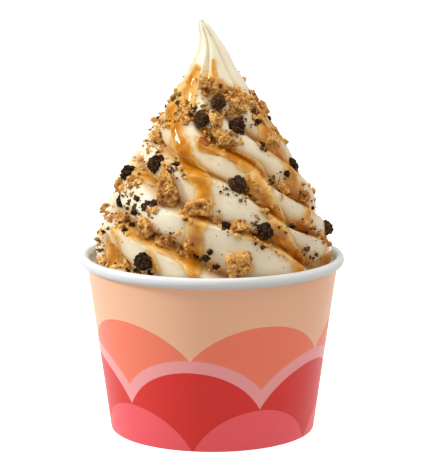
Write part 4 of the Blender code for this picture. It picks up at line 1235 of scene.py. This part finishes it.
def dust_places(draw, count):
    """Fine dust: most of it near the clusters, and the rest anywhere, mostly caught on the shelves."""
    rows = np.array(CRUMBS_SEEN, float)
    chosen = rows[draw.integers(0, len(rows), count // 2), :2]
    angle, height = seen_on_swirl(chosen + draw.normal(0.0, DUST_SPREAD, chosen.shape), 1)
    anywhere = draw.uniform(-180.0, 180.0, 3 * count), draw.uniform(*DUST_HEIGHTS, 3 * count)
    _, across, _, _ = ridge_place(*anywhere)
    kept = draw.uniform(0.0, 1.0, 3 * count) < np.where(across < SHELF_END, 0.9, 0.15)
    angle = np.concatenate([angle, anywhere[0][kept][: count // 2]])
    height = np.concatenate([height, anywhere[1][kept][: count // 2]])
    return angle, height, 0.18 + 0.45 * draw.uniform(0.0, 1.0, len(angle)) ** 2


# Operators.


class SOFTSERVE_OT_cup(bpy.types.Operator):
    """Make the printed paper cup and its base"""

    bl_idname = "soft_serve.cup"
    bl_label = "Make Cup"

    def execute(self, context):
        cup = context.scene.soft_serve.cup
        show("cup_wall_printed", cup_wall_mesh(cup), printed_board(cup), "cup_paper", ["cup_wall"])
        show("cup_base_board", cup_base_mesh(), bare_board(cup), "cup_paper", ["cup_base"])
        return {"FINISHED"}


class SOFTSERVE_OT_cream(bpy.types.Operator):
    """Make the soft serve"""

    bl_idname = "soft_serve.cream"
    bl_label = "Make Cream"

    def execute(self, context):
        cream = context.scene.soft_serve.cream
        show("soft_serve_swirl", cream_mesh(cream), vanilla_cream(cream), "vanilla_cream", ["soft_serve"])
        return {"FINISHED"}


class SOFTSERVE_OT_caramel(bpy.types.Operator):
    """Run the caramel streams over the cream"""

    bl_idname = "soft_serve.caramel"
    bl_label = "Make Caramel"

    def execute(self, context):
        caramel = context.scene.soft_serve.caramel
        mesh = caramel_mesh(caramel.thickness / MM)
        show("caramel_streams", mesh, caramel_sauce(caramel), "vanilla_cream")
        return {"FINISHED"}


class SOFTSERVE_OT_toppings(bpy.types.Operator):
    """Make the biscuit chunks and the cookie lumps"""

    bl_idname = "soft_serve.toppings"
    bl_label = "Make Toppings"

    def execute(self, context):
        toppings = context.scene.soft_serve.toppings
        looks = topping_looks(toppings)
        pieces = sorted(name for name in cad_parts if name.startswith(("biscuit_", "cookie_")))
        for number, node in enumerate(pieces):
            kind = node.split("_")[0]
            angle, middle, half_sides = node_shape(node)
            name = f"{node}_broken"
            mesh = placed_piece(name, kind, angle, middle, half_sides, CHUNK_SEED + number)
            show(name, mesh, *looks[kind], [node])
        for number, (kind, *bit) in enumerate(with_kinds(SMALL_BITS), 1):
            name = f"small_{kind}_bit_{number:02d}"
            show(name, lying_piece(name, kind, *bit, BIT_SEED + number), *looks[kind])
        kinds, x, y, sizes = zip(*with_kinds(LARGE_CRUMBS_SEEN))
        places = np.stack(seen_on_swirl(np.stack([x, y], axis=-1), PIECE_OVERHANG), axis=-1)
        for number, (kind, place, size) in enumerate(zip(kinds, places, sizes, strict=True)):
            name = f"large_{kind}_crumb_{number + 1:02d}"
            shape = LARGE_CRUMB_SCALE * size, LARGE_CRUMB_TALLNESS, LARGE_CRUMB_SEED + number
            show(name, lying_piece(name, kind, *place, *shape), *looks[kind])
        return {"FINISHED"}


class SOFTSERVE_OT_crumbs(bpy.types.Operator):
    """Scatter the crumbs and the cookie dust"""

    bl_idname = "soft_serve.crumbs"
    bl_label = "Scatter Crumbs"

    def execute(self, context):
        toppings = context.scene.soft_serve.toppings
        looks = topping_looks(toppings)
        draw = np.random.default_rng(SCATTER_SEED)
        for kind in ("biscuit", "cookie"):
            name = f"{kind}_crumbs"
            mesh = scattered_mesh(name, *crumb_places(draw, kind), CRUMB_DETAIL, draw)
            show(name, mesh, *looks[kind])
        mesh = scattered_mesh("cookie_dust", *dust_places(draw, toppings.dust), DUST_DETAIL, draw)
        show("cookie_dust", mesh, *looks["cookie"])
        return {"FINISHED"}


def topping_looks(toppings):
    """The material and a slot name of each kind of topping, made once."""
    made = {
        "biscuit": ("baked_biscuit", toppings.biscuit, toppings.biscuit_dark, 0.8, 0.2),
        "cookie": ("chocolate_cookie_crumb", toppings.cookie_light, toppings.cookie, 0.7, 0.08),
    }
    looks = {}
    for kind, (name, *finish) in made.items():
        material = bpy.data.materials.get(name) or crumbly(name, *finish)
        looks[kind] = (material, TOPPING_SLOTS[kind])
    return looks


def aimed(item, place, target):
    """Puts a light or a camera at a place and turns it towards a target."""
    item.location = place
    item.rotation_mode = "QUATERNION"
    item.rotation_quaternion = (Vector(target) - Vector(place)).to_track_quat("-Z", "Y")
    bpy.context.scene.collection.objects.link(item)


def add_area_light(name, place, target, size, power, shade):
    """A square lamp that shines from its place towards its target."""
    light = bpy.data.lights.new(name, "AREA")
    light.size = size
    light.energy = power
    light.color = shade
    aimed(bpy.data.objects.new(name, light), place, target)


class SOFTSERVE_OT_stage(bpy.types.Operator):
    """Set up the floor, the lights and the camera"""

    bl_idname = "soft_serve.stage"
    bl_label = "Set Up Stage"

    def execute(self, context):
        stage = context.scene.soft_serve.stage
        material, _, shader = new_material("matt_studio_floor", Roughness=0.9, Specular_IOR_Level=0.1)
        shader.inputs["Base Color"].default_value = stage.floor
        shader.inputs["Emission Color"].default_value = WHITE
        shader.inputs["Emission Strength"].default_value = stage.floor_glow
        corners = np.array([(-1.0, -1.0, 0.0), (1.0, -1.0, 0.0), (1.0, 1.0, 0.0), (-1.0, 1.0, 0.0)])
        mesh = make_mesh("floor", corners * FLOOR_REACH, np.array([(0, 1, 2), (0, 2, 3)]))
        mesh.materials.append(material)
        floor = bpy.data.objects.new("floor", mesh)
        context.scene.collection.objects.link(floor)
        floor.visible_diffuse = False  # it looks white, and leaves the lighting to the room and the lamps

        # The backdrop is white to the camera, and lights the object with a dimmer, warmer white.
        world = bpy.data.worlds.new("studio")
        context.scene.world = world
        world.use_nodes = True
        tree = world.node_tree
        background = tree.nodes["Background"]
        seen = add_node(tree, "LightPath").outputs["Is Camera Ray"]
        shade = add_node(tree, "Mix", {0: seen, 6: tuple(stage.room), 7: WHITE}, data_type="RGBA")
        strength = add_node(tree, "MapRange", {"Value": seen, "To Min": stage.room_light, "To Max": 1.0})
        tree.links.new(shade.outputs[2], background.inputs["Color"])
        tree.links.new(strength.outputs["Result"], background.inputs["Strength"])
        for name, (place, target, size) in LAMPS.items():
            shade = stage.key_shade if name == "key" else WHITE
            add_area_light(name, place, target, size, getattr(stage, f"{name}_power"), shade[:3])
        context.scene.view_settings.view_transform = "Standard"

        camera = bpy.data.cameras.new("camera")
        camera.sensor_width = SENSOR_WIDTH
        camera.lens = SENSOR_WIDTH * stage.camera_distance / (PIXEL * MM * PHOTO_HEIGHT)
        camera.shift_x = (PHOTO_WIDTH / 2.0 - AIM_PIXEL[0]) / PHOTO_HEIGHT
        holder = bpy.data.objects.new("camera", camera)
        back = stage.camera_distance * math.cos(stage.camera_angle)
        up = stage.camera_distance * math.sin(stage.camera_angle)
        aimed(holder, (0.0, -back, AIM_HEIGHT * MM + up), (0.0, 0.0, AIM_HEIGHT * MM))
        context.scene.camera = holder
        return {"FINISHED"}


class SOFTSERVE_PT_panel(bpy.types.Panel):
    """Lists the steps that build the object"""

    bl_label = "Soft Serve Cup"
    bl_idname = "SOFTSERVE_PT_panel"
    bl_space_type = "VIEW_3D"
    bl_region_type = "UI"
    bl_category = "Soft Serve"

    def draw(self, context):
        settings = context.scene.soft_serve
        for operator, group in STEPS:
            box = self.layout.box()
            box.operator(operator.bl_idname)
            for name in getattr(settings, group).__annotations__:
                box.prop(getattr(settings, group), name)


STEPS = (
    (SOFTSERVE_OT_stage, "stage"),
    (SOFTSERVE_OT_cup, "cup"),
    (SOFTSERVE_OT_cream, "cream"),
    (SOFTSERVE_OT_caramel, "caramel"),
    (SOFTSERVE_OT_toppings, "toppings"),
    (SOFTSERVE_OT_crumbs, "toppings"),
)
CLASSES = (
    CupSettings,
    CreamSettings,
    CaramelSettings,
    ToppingSettings,
    StageSettings,
    CupScene,
    *(operator for operator, _ in STEPS),
    SOFTSERVE_PT_panel,
)


def register():
    for item in CLASSES:
        bpy.utils.register_class(item)
    bpy.types.Scene.soft_serve = PointerProperty(type=CupScene)


def unregister():
    del bpy.types.Scene.soft_serve
    for item in reversed(CLASSES):
        bpy.utils.unregister_class(item)


def main():
    """Registers the classes, and makes every piece and the stage."""
    register()
    bpy.ops.soft_serve.stage()
    bpy.ops.soft_serve.cup()
    bpy.ops.soft_serve.cream()
    bpy.ops.soft_serve.caramel()
    bpy.ops.soft_serve.toppings()
    bpy.ops.soft_serve.crumbs()


if __name__ == "__main__":
    main()
